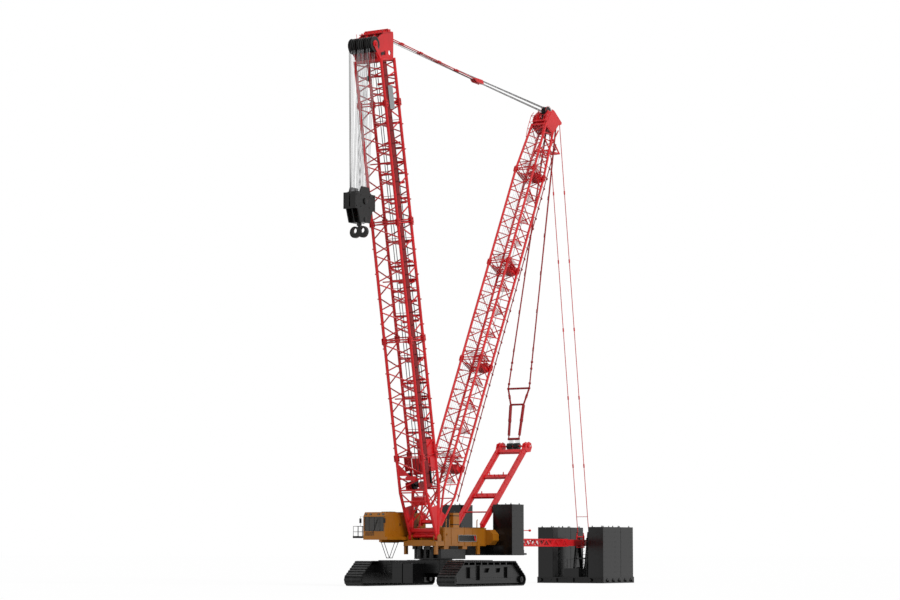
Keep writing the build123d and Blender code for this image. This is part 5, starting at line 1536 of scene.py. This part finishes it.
    def tank_fittings(self) -> None:
        """Straps and filler cap of the deck tank."""
        low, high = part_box("deck_tank")
        straps = Piece("tank_straps")
        for z in (low.z + 0.14, high.z - 0.14):
            straps.block((low.x - 0.006, low.y + 0.01, z - 0.02), (high.x + 0.006, high.y + 0.006, z + 0.02))
        straps.lathe([(0, 0.045), (0.02, 0.045), (0.03, 0.035), (0.05, 0.035), (0.055, 0.02)],
                     ((low.x + high.x) / 2, (low.y + high.y) / 2, high.z), UP, 18)
        straps.build(BLACK, "upper", 0.003)

    def under_frame(self) -> None:
        """Slewing motors' caps, and valve blocks with their ports, under the front of the frame."""
        parts, x = Piece("slew_motor_caps"), self.motor
        for y in (-0.33, 0.0, 0.33):
            parts.lathe(MOTOR_CAP, (x, y, 1.80), UP, 24)
            for spot in circle((x, y, 1.82), AHEAD, LEFT, 0.097, 8):
                parts.bolt(spot, UP, 0.010, 0.010)
            parts.lathe([(-0.02, 0.115), (0.06, 0.115), (0.065, 0.10)], (x, y, 1.36), UP, 24)
        parts.build(SHEAVE, "upper")
        blocks, top = Piece("valve_blocks"), self.under
        for x, y, length, width, height in ((1.16, -0.45, 0.20, 0.18, 0.16), (1.16, 0.22, 0.20, 0.22, 0.18),
                                            (1.20, -0.12, 0.14, 0.16, 0.12)):
            face = x + length
            blocks.block((x, y, top - height), (face, y + width, top))
            for k in range(3):
                port = Vector((face, y + 0.04 + 0.045 * k, top - height / 2))
                blocks.tube(port, port + AHEAD * 0.04, 0.014)
        blocks.build(BLACK, "upper", 0.005)


# ---------------------------------------------------------------- winches and rigging
DRUM_FLANGES = {"hoist_drum": 0.27, "luffing_drum": 0.24}
PIN_CAP = ((-0.02, 0.085), (0.02, 0.085), (0.028, 0.06), (0.03, 0.03))


@dataclass
class Winches:
    """Rope laid on the two drums.

    Attributes:
        half: Half the length of a drum between its flanges.
        rope: Radius of the rope on it.
        bare: Radius of a bare drum, as a share of its flanges' radius.
    """

    half: float = 0.468
    rope: float = 0.014
    bare: float = 0.78

    def build(self) -> None:
        """Winds both drums."""
        for drum, radius in DRUM_FLANGES.items():
            self.wind(drum, radius * self.bare)

    def wind(self, drum: str, core: float) -> None:
        """Lays the outer layer of rope on one drum.

        Args:
            drum: Name of the drum's joint, node and body.
            core: Radius of the bare drum.
        """
        place = joint_place(f"{drum}_turn")
        layer = Piece(f"{drum}_rope")
        turns, sunk = int(self.half / self.rope), core - 0.005
        profile = [(-self.half, sunk)]
        for k in range(turns):
            middle = -self.half + (k + 0.5) * 2 * self.rope
            for share in (-0.95, -0.6, 0.0, 0.6, 0.95):
                rise = self.rope * (0.1 + math.sqrt(1 - share * share))
                profile.append((middle + share * self.rope, core + rise))
        profile.append((self.half, sunk))
        layer.lathe(profile, place, LEFT, 40)
        layer.build(ROPE, drum)


@dataclass
class RiggingFrame:
    """Fittings of the inclined rigging frame.

    Attributes:
        half: Half the distance between its legs.
        foot: Middle of the line between its feet.
        step_pitch: Distance between the steps on a leg.
    """

    half: float = 0.765
    foot: tuple[float, float, float] = (-2.97, 0.0, 2.88)
    step_pitch: float = 0.58

    def build(self) -> None:
        """Makes pipes, steps, brackets and pins on the frame."""
        foot, top = Vector(self.foot), joint_place("gantry_sheave_spin")
        along = (top - foot).normalized()
        up = Vector((along.z, 0, -along.x))
        pipes, brackets = Piece("rigging_frame_pipes"), Piece("rigging_frame_brackets")
        for side in SIDES:
            out = LEFT * side
            start = foot + out * (self.half - 0.10)
            pipes.run([start + along * 0.5, start + along * 5.5], 0.014)
            for k in range(9):
                spot = foot + along * (0.7 + self.step_pitch * k) + out * self.half
                brackets.tube(spot + up * 0.12, spot + up * 0.165, 0.020, 8)
                brackets.tube(spot + out * 0.08, spot + out * 0.10, 0.028, 8)
            brackets.lathe(PIN_CAP, top + out * (self.half + 0.13), out, 20)
        for share, left in ((0.37, -0.5), (0.37, 0.1), (0.37, 0.45), (0.61, -0.1), (0.61, 0.15)):
            spot = foot + (top - foot) * share + LEFT * left
            brackets.tube(spot + up * 0.05, spot + up * 0.16 + LEFT * 0.05, 0.022, 8)
            brackets.tube(spot - up * 0.05, spot - up * 0.17, 0.018, 8)
        pipes.build(RED, "upper")
        brackets.build(RED, "upper")


@dataclass
class HookFittings:
    """Bolts, guards and plates of the hook block.

    Attributes:
        half: Half the block's width.
        length: Half the length of its shoulders.
        guard_z: Foot and top of the end guards.
        bolt_z: Heights of the cheek bolts' rows.
        pin_z: Height of the lower pin.
    """

    half: float = 0.34
    length: float = 0.81
    guard_z: tuple[float, float] = (17.46, 18.10)
    bolt_z: tuple[float, float] = (17.52, 18.05)
    pin_z: float = 16.95

    def build(self) -> None:
        """Makes every fitting of the block."""
        axle = joint_place("hook_sheave_spin")
        bolts, guards = Piece("hook_block_bolts"), Piece("hook_block_guards")
        for side in SIDES:
            face, out = side * self.half, LEFT * side
            for dx in (-0.70, -0.35, 0.35, 0.70):
                for z in self.bolt_z:
                    bolts.bolt((axle.x + dx, face, z), out, 0.026, 0.020)
            middle = Vector((axle.x, face, axle.z))
            bolts.lathe([(0.025, 0.15), (0.045, 0.15), (0.05, 0.11), (0.06, 0.05)], middle, out, 24)
            bolts.lathe([(-0.01, 0.11), (0.02, 0.11), (0.028, 0.08), (0.03, 0.03)],
                        (axle.x, face, self.pin_z), out, 24)
            for spot in circle(middle + out * 0.043, AHEAD, UP, 0.125, 8):
                bolts.bolt(spot, out, 0.012, 0.010)
        low, high = self.guard_z
        for end in SIDES:
            x, shoulder = axle.x + end * (self.length - 0.008), axle.x + end * 0.50
            for side in SIDES[::-1]:
                guards.block((x, side * 0.03, low), (x - end * 0.02, side * (self.half - 0.04), high))
            guards.block((shoulder - 0.06, 0.05 - self.half, 18.14),
                         (shoulder + 0.06, self.half - 0.05, 18.22))
        bolts.build(BLACK, "hook_block", slot=Slot.SHEAVE)
        guards.build(SHEAVE, "hook_block", 0.006)


# ---------------------------------------------------------------- counterweights
WEIGHT_LUG = ((0, 0.045), (0.018, 0.045), (0.022, 0.020), (0.050, 0.020), (0.055, 0.032), (0.070, 0.026))
ROD_END = ((-0.08, 0.02), (-0.06, 0.05), (0.0, 0.065), (0.05, 0.05), (0.07, 0.02))


@dataclass
class Counterweights:
    """Lugs, bars, lacing, steps and brackets of the rear stacks and of the trailing tray.

    Attributes:
        lacing_pitch: Length of one bay of the guide beam's lacing.
        rod: Middle of the red bar's front end.
        carrier: Rear face of the carrier's cross member.
        ladder: How far in front of the slewing axis the tray's ladder stands.
        bracket: Place of the tray's red bracket, likewise.
    """

    lacing_pitch: float = 0.23
    rod: tuple[float, float, float] = (-4.84, 1.88, 2.67)
    carrier: float = -4.836
    ladder: float = -13.62
    bracket: float = -14.03

    def build(self) -> None:
        """Makes every fitting of the weights."""
        for side in ("left", "right"):
            self.stack(f"{side}_rear_weight", "upper", 8)
            self.stack(f"{side}_tray_weight", "tray", 10)
        self.rear_rod()
        self.beam_lacing()
        self.stack_seams_and_painted_shade()
        self.carrier_fittings()
        self.tray_fittings()

    def stack(self, node: str, body: str, slabs: int) -> None:
        """Lifting lugs on top, and pockets between the slabs on both side faces.

        Args:
            node: The stack's node.
            body: Body it rides on.
            slabs: How many slabs it has.
        """
        low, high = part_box(node)
        lugs = Piece(f"{node}_lugs")
        inset, middle = 0.16, (low.x + high.x) / 2
        ends = [low.x + inset, high.x - inset]
        if high.x - low.x > 2:
            ends[1:1] = [middle - 0.30, middle + 0.30]
        for x in ends:
            for y in (low.y + inset, high.y - inset):
                lugs.lathe(WEIGHT_LUG, (x, y, high.z), UP, 14)
        step = (high.z - low.z) / slabs
        for k in range(1, slabs):
            z = low.z + step * k
            for x in ends:
                for y, out in ((low.y, low.y - 0.006), (high.y, high.y + 0.006)):
                    lugs.block((x - 0.05, y, z - 0.012), (x + 0.05, out, z + 0.012))
        lugs.build(WEIGHT_STEEL, body)

    def rear_rod(self) -> None:
        """Red bar with a round end that points to the rear."""
        bar, front = Piece("rear_tie_bar"), Vector(self.rod)
        bar.tube(front, front - AHEAD * 0.80, 0.022, 12)
        bar.lathe(ROD_END, front - AHEAD * 0.82, AHEAD, 16)
        bar.block(front + Vector((-0.035, -0.08, -0.09)), front + Vector((0.005, 0.08, 0.09)))
        bar.build(RED, "upper")

    def beam_lacing(self) -> None:
        """Fine lacing on both faces of the guide beam."""
        low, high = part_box("guide_beam")
        lacing = Piece("guide_beam_lacing")
        pitch, foot, top = self.lacing_pitch, low.z + 0.05, high.z - 0.05
        for side in SIDES:
            y = side * (high.y - 0.008)
            for k in range(int((high.x + 0.1 - low.x) / pitch) - 1):
                x = high.x - 0.12 - pitch * k
                lacing.tube((x, y, foot), (x - pitch / 2, y, top), 0.007, 6)
                lacing.tube((x - pitch / 2, y, top), (x - pitch, y, foot), 0.007, 6)
        lacing.build(RED, "upper")

    def stack_seams_and_painted_shade(self) -> None:
        """Dark joints between the halves of the tray's stacks, and beside each front one a black strip of
        painted shade that stands for a recess.
        """
        seams = Piece("tray_weight_seams_and_painted_shade")
        for side in SIDES:
            low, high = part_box("left_tray_weight" if side > 0 else "right_tray_weight")
            for y in (low.y, high.y):
                seams.block((-14.88, y - 0.004, low.z + 0.01), (-14.865, y + 0.004, high.z - 0.01))
            inner = low.y if side > 0 else high.y
            # Painted shade: a flat black strip on the inner face stands in for the shadow in a recess; no
            # recess is cut.
            seams.block((-13.52, inner - 0.004, low.z + 0.01), (high.x - 0.02, inner + 0.004, high.z - 0.01))
        seams.build(JOINT_AND_PAINTED_SHADE, "tray")

    def carrier_fittings(self) -> None:
        """Pins, brackets and steps on the carrier's tail."""
        parts = Piece("carrier_fittings")
        for y in (-0.42, -0.14, 0.14, 0.42):
            parts.lathe([(-0.02, 0.06), (0.02, 0.06), (0.03, 0.04), (0.05, 0.035)], (-5.10, y, 1.69), UP, 16)
            parts.block((-5.40, y - 0.05, 1.48), (-5.36, y + 0.05, 1.66))
        foot, face, step = 1.47, self.carrier, -3.76
        for side in SIDES:
            near, far = side * 1.30, side * 1.78
            parts.block((-4.90, near - 0.42, foot), (face, near + 0.42, 1.62))
            parts.block((-5.26, far - 0.16, foot), (face, far + 0.16, 1.56))
            parts.tube((-5.20, far, foot), (-5.20, far, 1.72), 0.045, 12)
            for z in (1.6, 1.8, 2.0, 2.2):
                parts.tube((step, side, z), (step, side * 1.3, z), 0.012)
        parts.build(BLACK, "upper", 0.004)

    def tray_fittings(self) -> None:
        """Ladder, hand rails, red bracket and pin caps of the tray."""
        ladder, x, rails = Piece("tray_ladder"), self.ladder, (0.36, 0.58)
        for y in rails:
            ladder.run([(x, y, 0.32), (x, y, 1.62), (x - 0.22, y, 1.68)], 0.012)
        for k in range(7):
            z = 0.46 + 0.17 * k
            ladder.tube((x, rails[0], z), (x, rails[1], z), 0.010)
        for side in SIDES:
            y, top = side * 0.50, 1.24
            for end in (-13.5, -14.9):
                ladder.run([(end, y, 0.33), (end, y, top), (-14.2, y, top)], 0.014)
        ladder.build(BLACK, "tray")
        bracket, x = Piece("tray_red_bracket"), self.bracket
        upright = Matrix.Rotation(math.radians(90), 4, "X")
        outline = [(x - 0.07, 1.90), (x + 0.07, 1.90), (x + 0.07, 2.36), (x + 0.01, 2.62), (x - 0.07, 2.36)]
        for side in SIDES:
            bracket.prism(outline, 0, 0.03, Matrix.Translation((0, side * 0.20 + 0.015, 0)) @ upright)
        for z in (2.40, 1.86):
            bracket.tube((x, -0.24, z), (x, 0.24, z), 0.035, 12)
        bracket.build(RED, "tray")
        feet = Piece("tray_base_fittings")
        low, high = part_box("tray_base")
        for y in (-1.80, -1.20, 1.20, 1.80):
            feet.lathe([(-0.02, 0.07), (0.018, 0.07), (0.024, 0.05), (0.03, 0.02)], (high.x, y, 0.16),
                       AHEAD, 18)
        for side in SIDES:
            y = high.y if side > 0 else low.y
            for k in range(5):
                spot = (-13.30 - 0.64 * k, y, 0.17)
                feet.lathe([(-0.02, 0.05), (0.016, 0.05), (0.022, 0.035)], spot, LEFT * side, 16)
        feet.build(BLACK, "tray")


# ---------------------------------------------------------------- ropes
@dataclass
class Ropes:
    """Running and standing ropes, drawn a little full so that they read at a distance.

    Attributes:
        radius: Radius of the falls at the rigging frame.
        fall: Radius of a fall to the hook block.
        lead: Radius of the lines that lead to it.
        lefts: Distances of the falls from the middle of the boom head.
        stay: Radius of the ropes to the boom head where they leave the mast.
        stay_tip: Their radius at the boom head.
        knee: Share of those ropes, from the mast end, where the leads end and the falls begin.
        stay_ends: How far they start above the mast sheaves' axle and end above the stay's pin.
        spreader: Ends of both spreader bars and of the tension links, from the frame's sheaves.
        sleeves: Start and end of the tension links' sleeves, as shares, and their radius.
        clamps: Shares of the upper stay at which its clamps end.
    """

    radius: float = 0.011
    fall: float = 0.0085
    lead: float = 0.013
    lefts: tuple[float, ...] = (0.04, 0.10, 0.16, 0.33, 0.42, 0.51)
    stay: float = 0.020
    stay_tip: float = 0.004
    knee: float = 0.060
    stay_ends: tuple[tuple[float, float], ...] = ((0.19, -0.11), (-0.03, -0.15))
    spreader: tuple[Point, ...] = ((-0.515, 0.62, 2.955), (-0.355, 0.38, 2.13), (-0.010, 0.30, 0.375))
    sleeves: tuple[Point, ...] = ((0.02, 0.50, 0.078), (0.58, 0.86, 0.066))
    clamps: tuple[float, ...] = (0.985, 0.93, 0.905)

    def build(self) -> None:
        """Makes every rope."""
        self.hoist_falls()
        self.boom_stay_falls()
        self.mast_stay_falls()
        self.mast_stay_sleeves()

    def hoist_falls(self) -> None:
        """Falls between the boom head and the hook block."""
        head = joint_place("boom_sheave_spin")
        block = joint_place("hook_sheave_spin")
        falls, lines = Piece("hoist_falls"), Piece("hoist_lead_lines")
        shares = (0, 0.02, 0.98, 1)
        for side in SIDES:
            for k, left in enumerate(self.lefts):
                for out, reach in ((0.26, 0.375), (-0.15, -0.375)):
                    top = (head.x + out, side * left, head.z - 0.24)
                    low = (block.x + reach, side * (0.045 + 0.040 * k), block.z)
                    falls.run([mix(top, low, share) for share in shares], self.fall, 6)
        for k in range(2):
            top = (head.x + 0.35, -0.585 + 0.06 * k, head.z)
            low = (block.x + 0.39, -0.255 + 0.05 * k, block.z)
            lines.run([mix(top, low, share) for share in shares], self.lead, 6)
        thing = lines.build(DARK_ROPE, None)
        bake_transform(thing)
        thing = falls.build(ROPE, None)
        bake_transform(thing)

    def boom_stay_falls(self) -> None:
        """Ropes over the machine, from the mast head through the pulley block to the boom head."""
        mast_head, boom_head = joint_place("mast_sheave_spin"), joint_place("boom_stay_swing")
        leads, falls = Piece("boom_stay_leads"), Piece("boom_stay_falls")
        knees = []
        for side in SIDES:
            for lift, drop in self.stay_ends:
                start = mast_head + Vector((0.10, side * 0.06, lift))
                end = boom_head + Vector((0.0, side * 0.015, drop))
                knees.append(mix(start, end, self.knee))
                leads.tube(start, knees[-1], self.stay, 6)
                falls.tube(knees[-1], end, self.stay, 6, self.stay_tip)
        thing = leads.build(DARK_ROPE, None)
        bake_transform(thing)
        thing = falls.build(DARK_ROPE, None)
        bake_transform(thing)

    def mast_stay_falls(self) -> None:
        """Short rope falls between the lower pulley cheeks and the rigging frame's sheaves."""
        top = joint_place("gantry_sheave_spin")
        falls = Piece("mast_stay_falls")
        for side in SIDES:
            for k in range(4):
                left = side * (0.09 + 0.07 * k)
                falls.tube((top.x - 0.15, left, top.z), (top.x - 0.02, left, top.z + 0.42), self.radius, 6)
        falls.build(ROPE, "mast_stay")

    def mast_stay_sleeves(self) -> None:
        """Sleeves and tension links over the stays between the mast head and the rigging frame."""
        head, foot = joint_place("mast_stay_swing"), joint_place("gantry_sheave_spin")
        sleeves = Piece("mast_stay_sleeves")
        for side in SIDES:
            pin = head + Vector((0.008, side * 0.285, -0.30))
            upper, lower, end = (foot + Vector((x, side * y, z)) for x, y, z in self.spreader)
            sleeves.tube(pin, upper, 0.036, 8)
            sleeves.tube(upper, lower, 0.046, 8)
            for low, high, radius in self.sleeves:
                sleeves.tube(mix(lower, end, low), mix(lower, end, high), radius, 12)
            for share in self.clamps:
                sleeves.tube(mix(pin, upper, share - 0.006), mix(pin, upper, share), 0.062, 8)
        for x, y, z in self.spreader[:2]:
            sleeves.tube(foot + Vector((x, -y, z)), foot + Vector((x, y, z)), 0.052, 10)
        sleeves.build(STAY_RED, "mast_stay")


# ---------------------------------------------------------------- carried-over pieces
def dress_nodes() -> None:
    """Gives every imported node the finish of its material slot."""
    slots = {part["node"]: Slot(part["material_slot"]) for part in frame["record"]["subparts"]}
    for name, thing in frame["nodes"].items():
        finish = NODE_FINISH.get(name, SLOT_FINISH[slots[name]])
        for place in thing.material_slots:
            place.material = finish.material()
        log.info("%s: %s", name, finish.name)


# ---------------------------------------------------------------- studio
WHITE = (1, 1, 1, 1)
# Name, strength, angle across the source, heading and height of each sun, the last three in degrees.
SUNS = (("key", 2.1, 12, 78, 32), ("fill", 0.7, 40, 5, 22), ("rim", 0.6, 30, 200, 45))


@dataclass
class Studio:
    """Floor, light and camera.

    Attributes:
        distance: From the slewing axis to the camera.
        bearing: Degrees from the front towards the left side.
        height: Camera's height.
        lens: Focal length in millimetres on a 36 mm sensor.
        turn: Degrees the camera looks to the left of the slewing axis.
        rise: Degrees it looks up.
        reach: Half the width of the floor.
        shadow: Share of a seen floor point that is plain white, which leaves the rest to the shadow.
        glow: Strength of that white.
        ambient: Strength of the world as a light.
    """

    distance: float = 124.30
    bearing: float = 32.782
    height: float = 1.597
    lens: float = 103.17
    turn: float = -0.3144
    rise: float = 5.587
    reach: float = 900.0
    shadow: float = 0.80
    glow: float = 1.12
    ambient: float = 0.42

    def build(self) -> None:
        """Makes the whole studio."""
        self.floor()
        self.world()
        self.lamps()
        self.camera()

    def floor(self) -> None:
        """Wide pale floor that keeps the crane's shadow and meets a white horizon."""
        sheet, reach = bpy.data.meshes.new("floor"), self.reach
        corners = [(-reach, -reach, 0), (reach, -reach, 0), (reach, reach, 0), (-reach, reach, 0)]
        sheet.from_pydata(corners, [], [(0, 1, 2, 3)])
        thing = bpy.data.objects.new("floor", sheet)
        bpy.context.scene.collection.objects.link(thing)
        tree = bpy.data.materials.new("pale_floor")
        tree.use_nodes = True
        nodes, links = tree.node_tree.nodes, tree.node_tree.links
        nodes.clear()
        out = nodes.new("ShaderNodeOutputMaterial")
        matt, glow = nodes.new("ShaderNodeBsdfDiffuse"), nodes.new("ShaderNodeEmission")
        settle(matt, {"Color": (0.50, 0.50, 0.50, 1)})
        settle(glow, {"Color": WHITE, "Strength": self.glow})
        both = nodes.new("ShaderNodeMixShader")
        seen = nodes.new("ShaderNodeMath")
        seen.operation = "MULTIPLY"
        seen.inputs[1].default_value = self.shadow
        links.new(self.direct_rays(nodes, links), seen.inputs[0])
        links.new(seen.outputs[0], both.inputs[0])
        links.new(matt.outputs[0], both.inputs[1])
        links.new(glow.outputs[0], both.inputs[2])
        links.new(both.outputs[0], out.inputs["Surface"])
        sheet.materials.append(tree)

    @staticmethod
    def direct_rays(nodes: bpy.types.Nodes, links: bpy.types.NodeLinks) -> bpy.types.NodeSocket:
        """Adds the test for rays that should meet plain white.

        Args:
            nodes: Nodes of the tree.
            links: Links of the tree.

        Returns:
            The socket that is 1 for such rays.
        """
        path = nodes.new("ShaderNodeLightPath")
        total = path.outputs["Is Camera Ray"]
        for name in ("Is Glossy Ray", "Is Transmission Ray"):
            add = nodes.new("ShaderNodeMath")
            add.operation, add.use_clamp = "ADD", True
            links.new(total, add.inputs[0])
            links.new(path.outputs[name], add.inputs[1])
            total = add.outputs[0]
        return total

    def world(self) -> None:
        """White for what is seen, softer for what it lights."""
        world = bpy.data.worlds.new("studio")
        bpy.context.scene.world = world
        world.use_nodes = True
        nodes, links = world.node_tree.nodes, world.node_tree.links
        nodes.clear()
        out = nodes.new("ShaderNodeOutputWorld")
        soft, plain = nodes.new("ShaderNodeBackground"), nodes.new("ShaderNodeBackground")
        settle(soft, {"Color": WHITE, "Strength": self.ambient})
        settle(plain, {"Color": WHITE, "Strength": 1.0})
        both = nodes.new("ShaderNodeMixShader")
        links.new(self.direct_rays(nodes, links), both.inputs[0])
        links.new(soft.outputs[0], both.inputs[1])
        links.new(plain.outputs[0], both.inputs[2])
        links.new(both.outputs[0], out.inputs["Surface"])

    def lamps(self) -> None:
        """Broad key from the front left, a weaker fill from the right and a rim from behind."""
        for name, strength, angle, turn, rise in SUNS:
            lamp = bpy.data.lights.new(name, "SUN")
            lamp.energy, lamp.angle = strength, math.radians(angle)
            thing = bpy.data.objects.new(name, lamp)
            bpy.context.scene.collection.objects.link(thing)
            thing.rotation_mode = "QUATERNION"
            thing.rotation_quaternion = heading(turn, rise).to_track_quat("Z", "Y")

    def camera(self) -> None:
        """Long lens near the ground, from the front left."""
        lens = bpy.data.cameras.new("camera")
        lens.lens, lens.sensor_width = self.lens, 36.0
        lens.clip_start, lens.clip_end = 1.0, 3000.0
        thing = bpy.data.objects.new("camera", lens)
        bpy.context.scene.collection.objects.link(thing)
        thing.location = heading(self.bearing, 0) * self.distance + UP * self.height
        look = -heading(self.bearing + self.turn, -self.rise)
        thing.rotation_mode = "QUATERNION"
        thing.rotation_quaternion = look.to_track_quat("-Z", "Y")
        bpy.context.scene.camera = thing


def heading(turn: float, rise: float) -> Vector:
    """Unit direction turned from the front towards the left, and raised, both in degrees."""
    around, up = math.radians(turn), math.radians(rise)
    return Vector((math.cos(around) * math.cos(up), math.sin(around) * math.cos(up), math.sin(up)))


BOOM_LEAN, MAST_LEAN = 11.0, -27.4


def main() -> None:
    """Builds every sub-assembly in order."""
    logging.basicConfig(level=logging.INFO, format="%(message)s")
    bpy.context.scene.view_settings.view_transform = "Standard"
    boom = Leaning(joint_place("boom_luff"), BOOM_LEAN)
    mast = Leaning(joint_place("mast_luff"), MAST_LEAN)
    dress_nodes()
    Undercarriage().build()
    Cab().build()
    MachineDeck().build()
    Winches().build()
    RiggingFrame().build()
    Boom("boom", "boom", boom, half_depth=0.56, half_width=0.735, chord=0.074,
         joints=(3.9, 9.5, 15.1, 20.7)).build()
    Mast("mast", "mast", mast, half_depth=0.52, half_width=0.555, chord=0.062,
         joints=(3.5, 9.2, 14.9, 20.6)).build()
    Ropes().build()
    HookFittings().build()
    Counterweights().build()
    Studio().build()


if __name__ == "__main__":
    main()
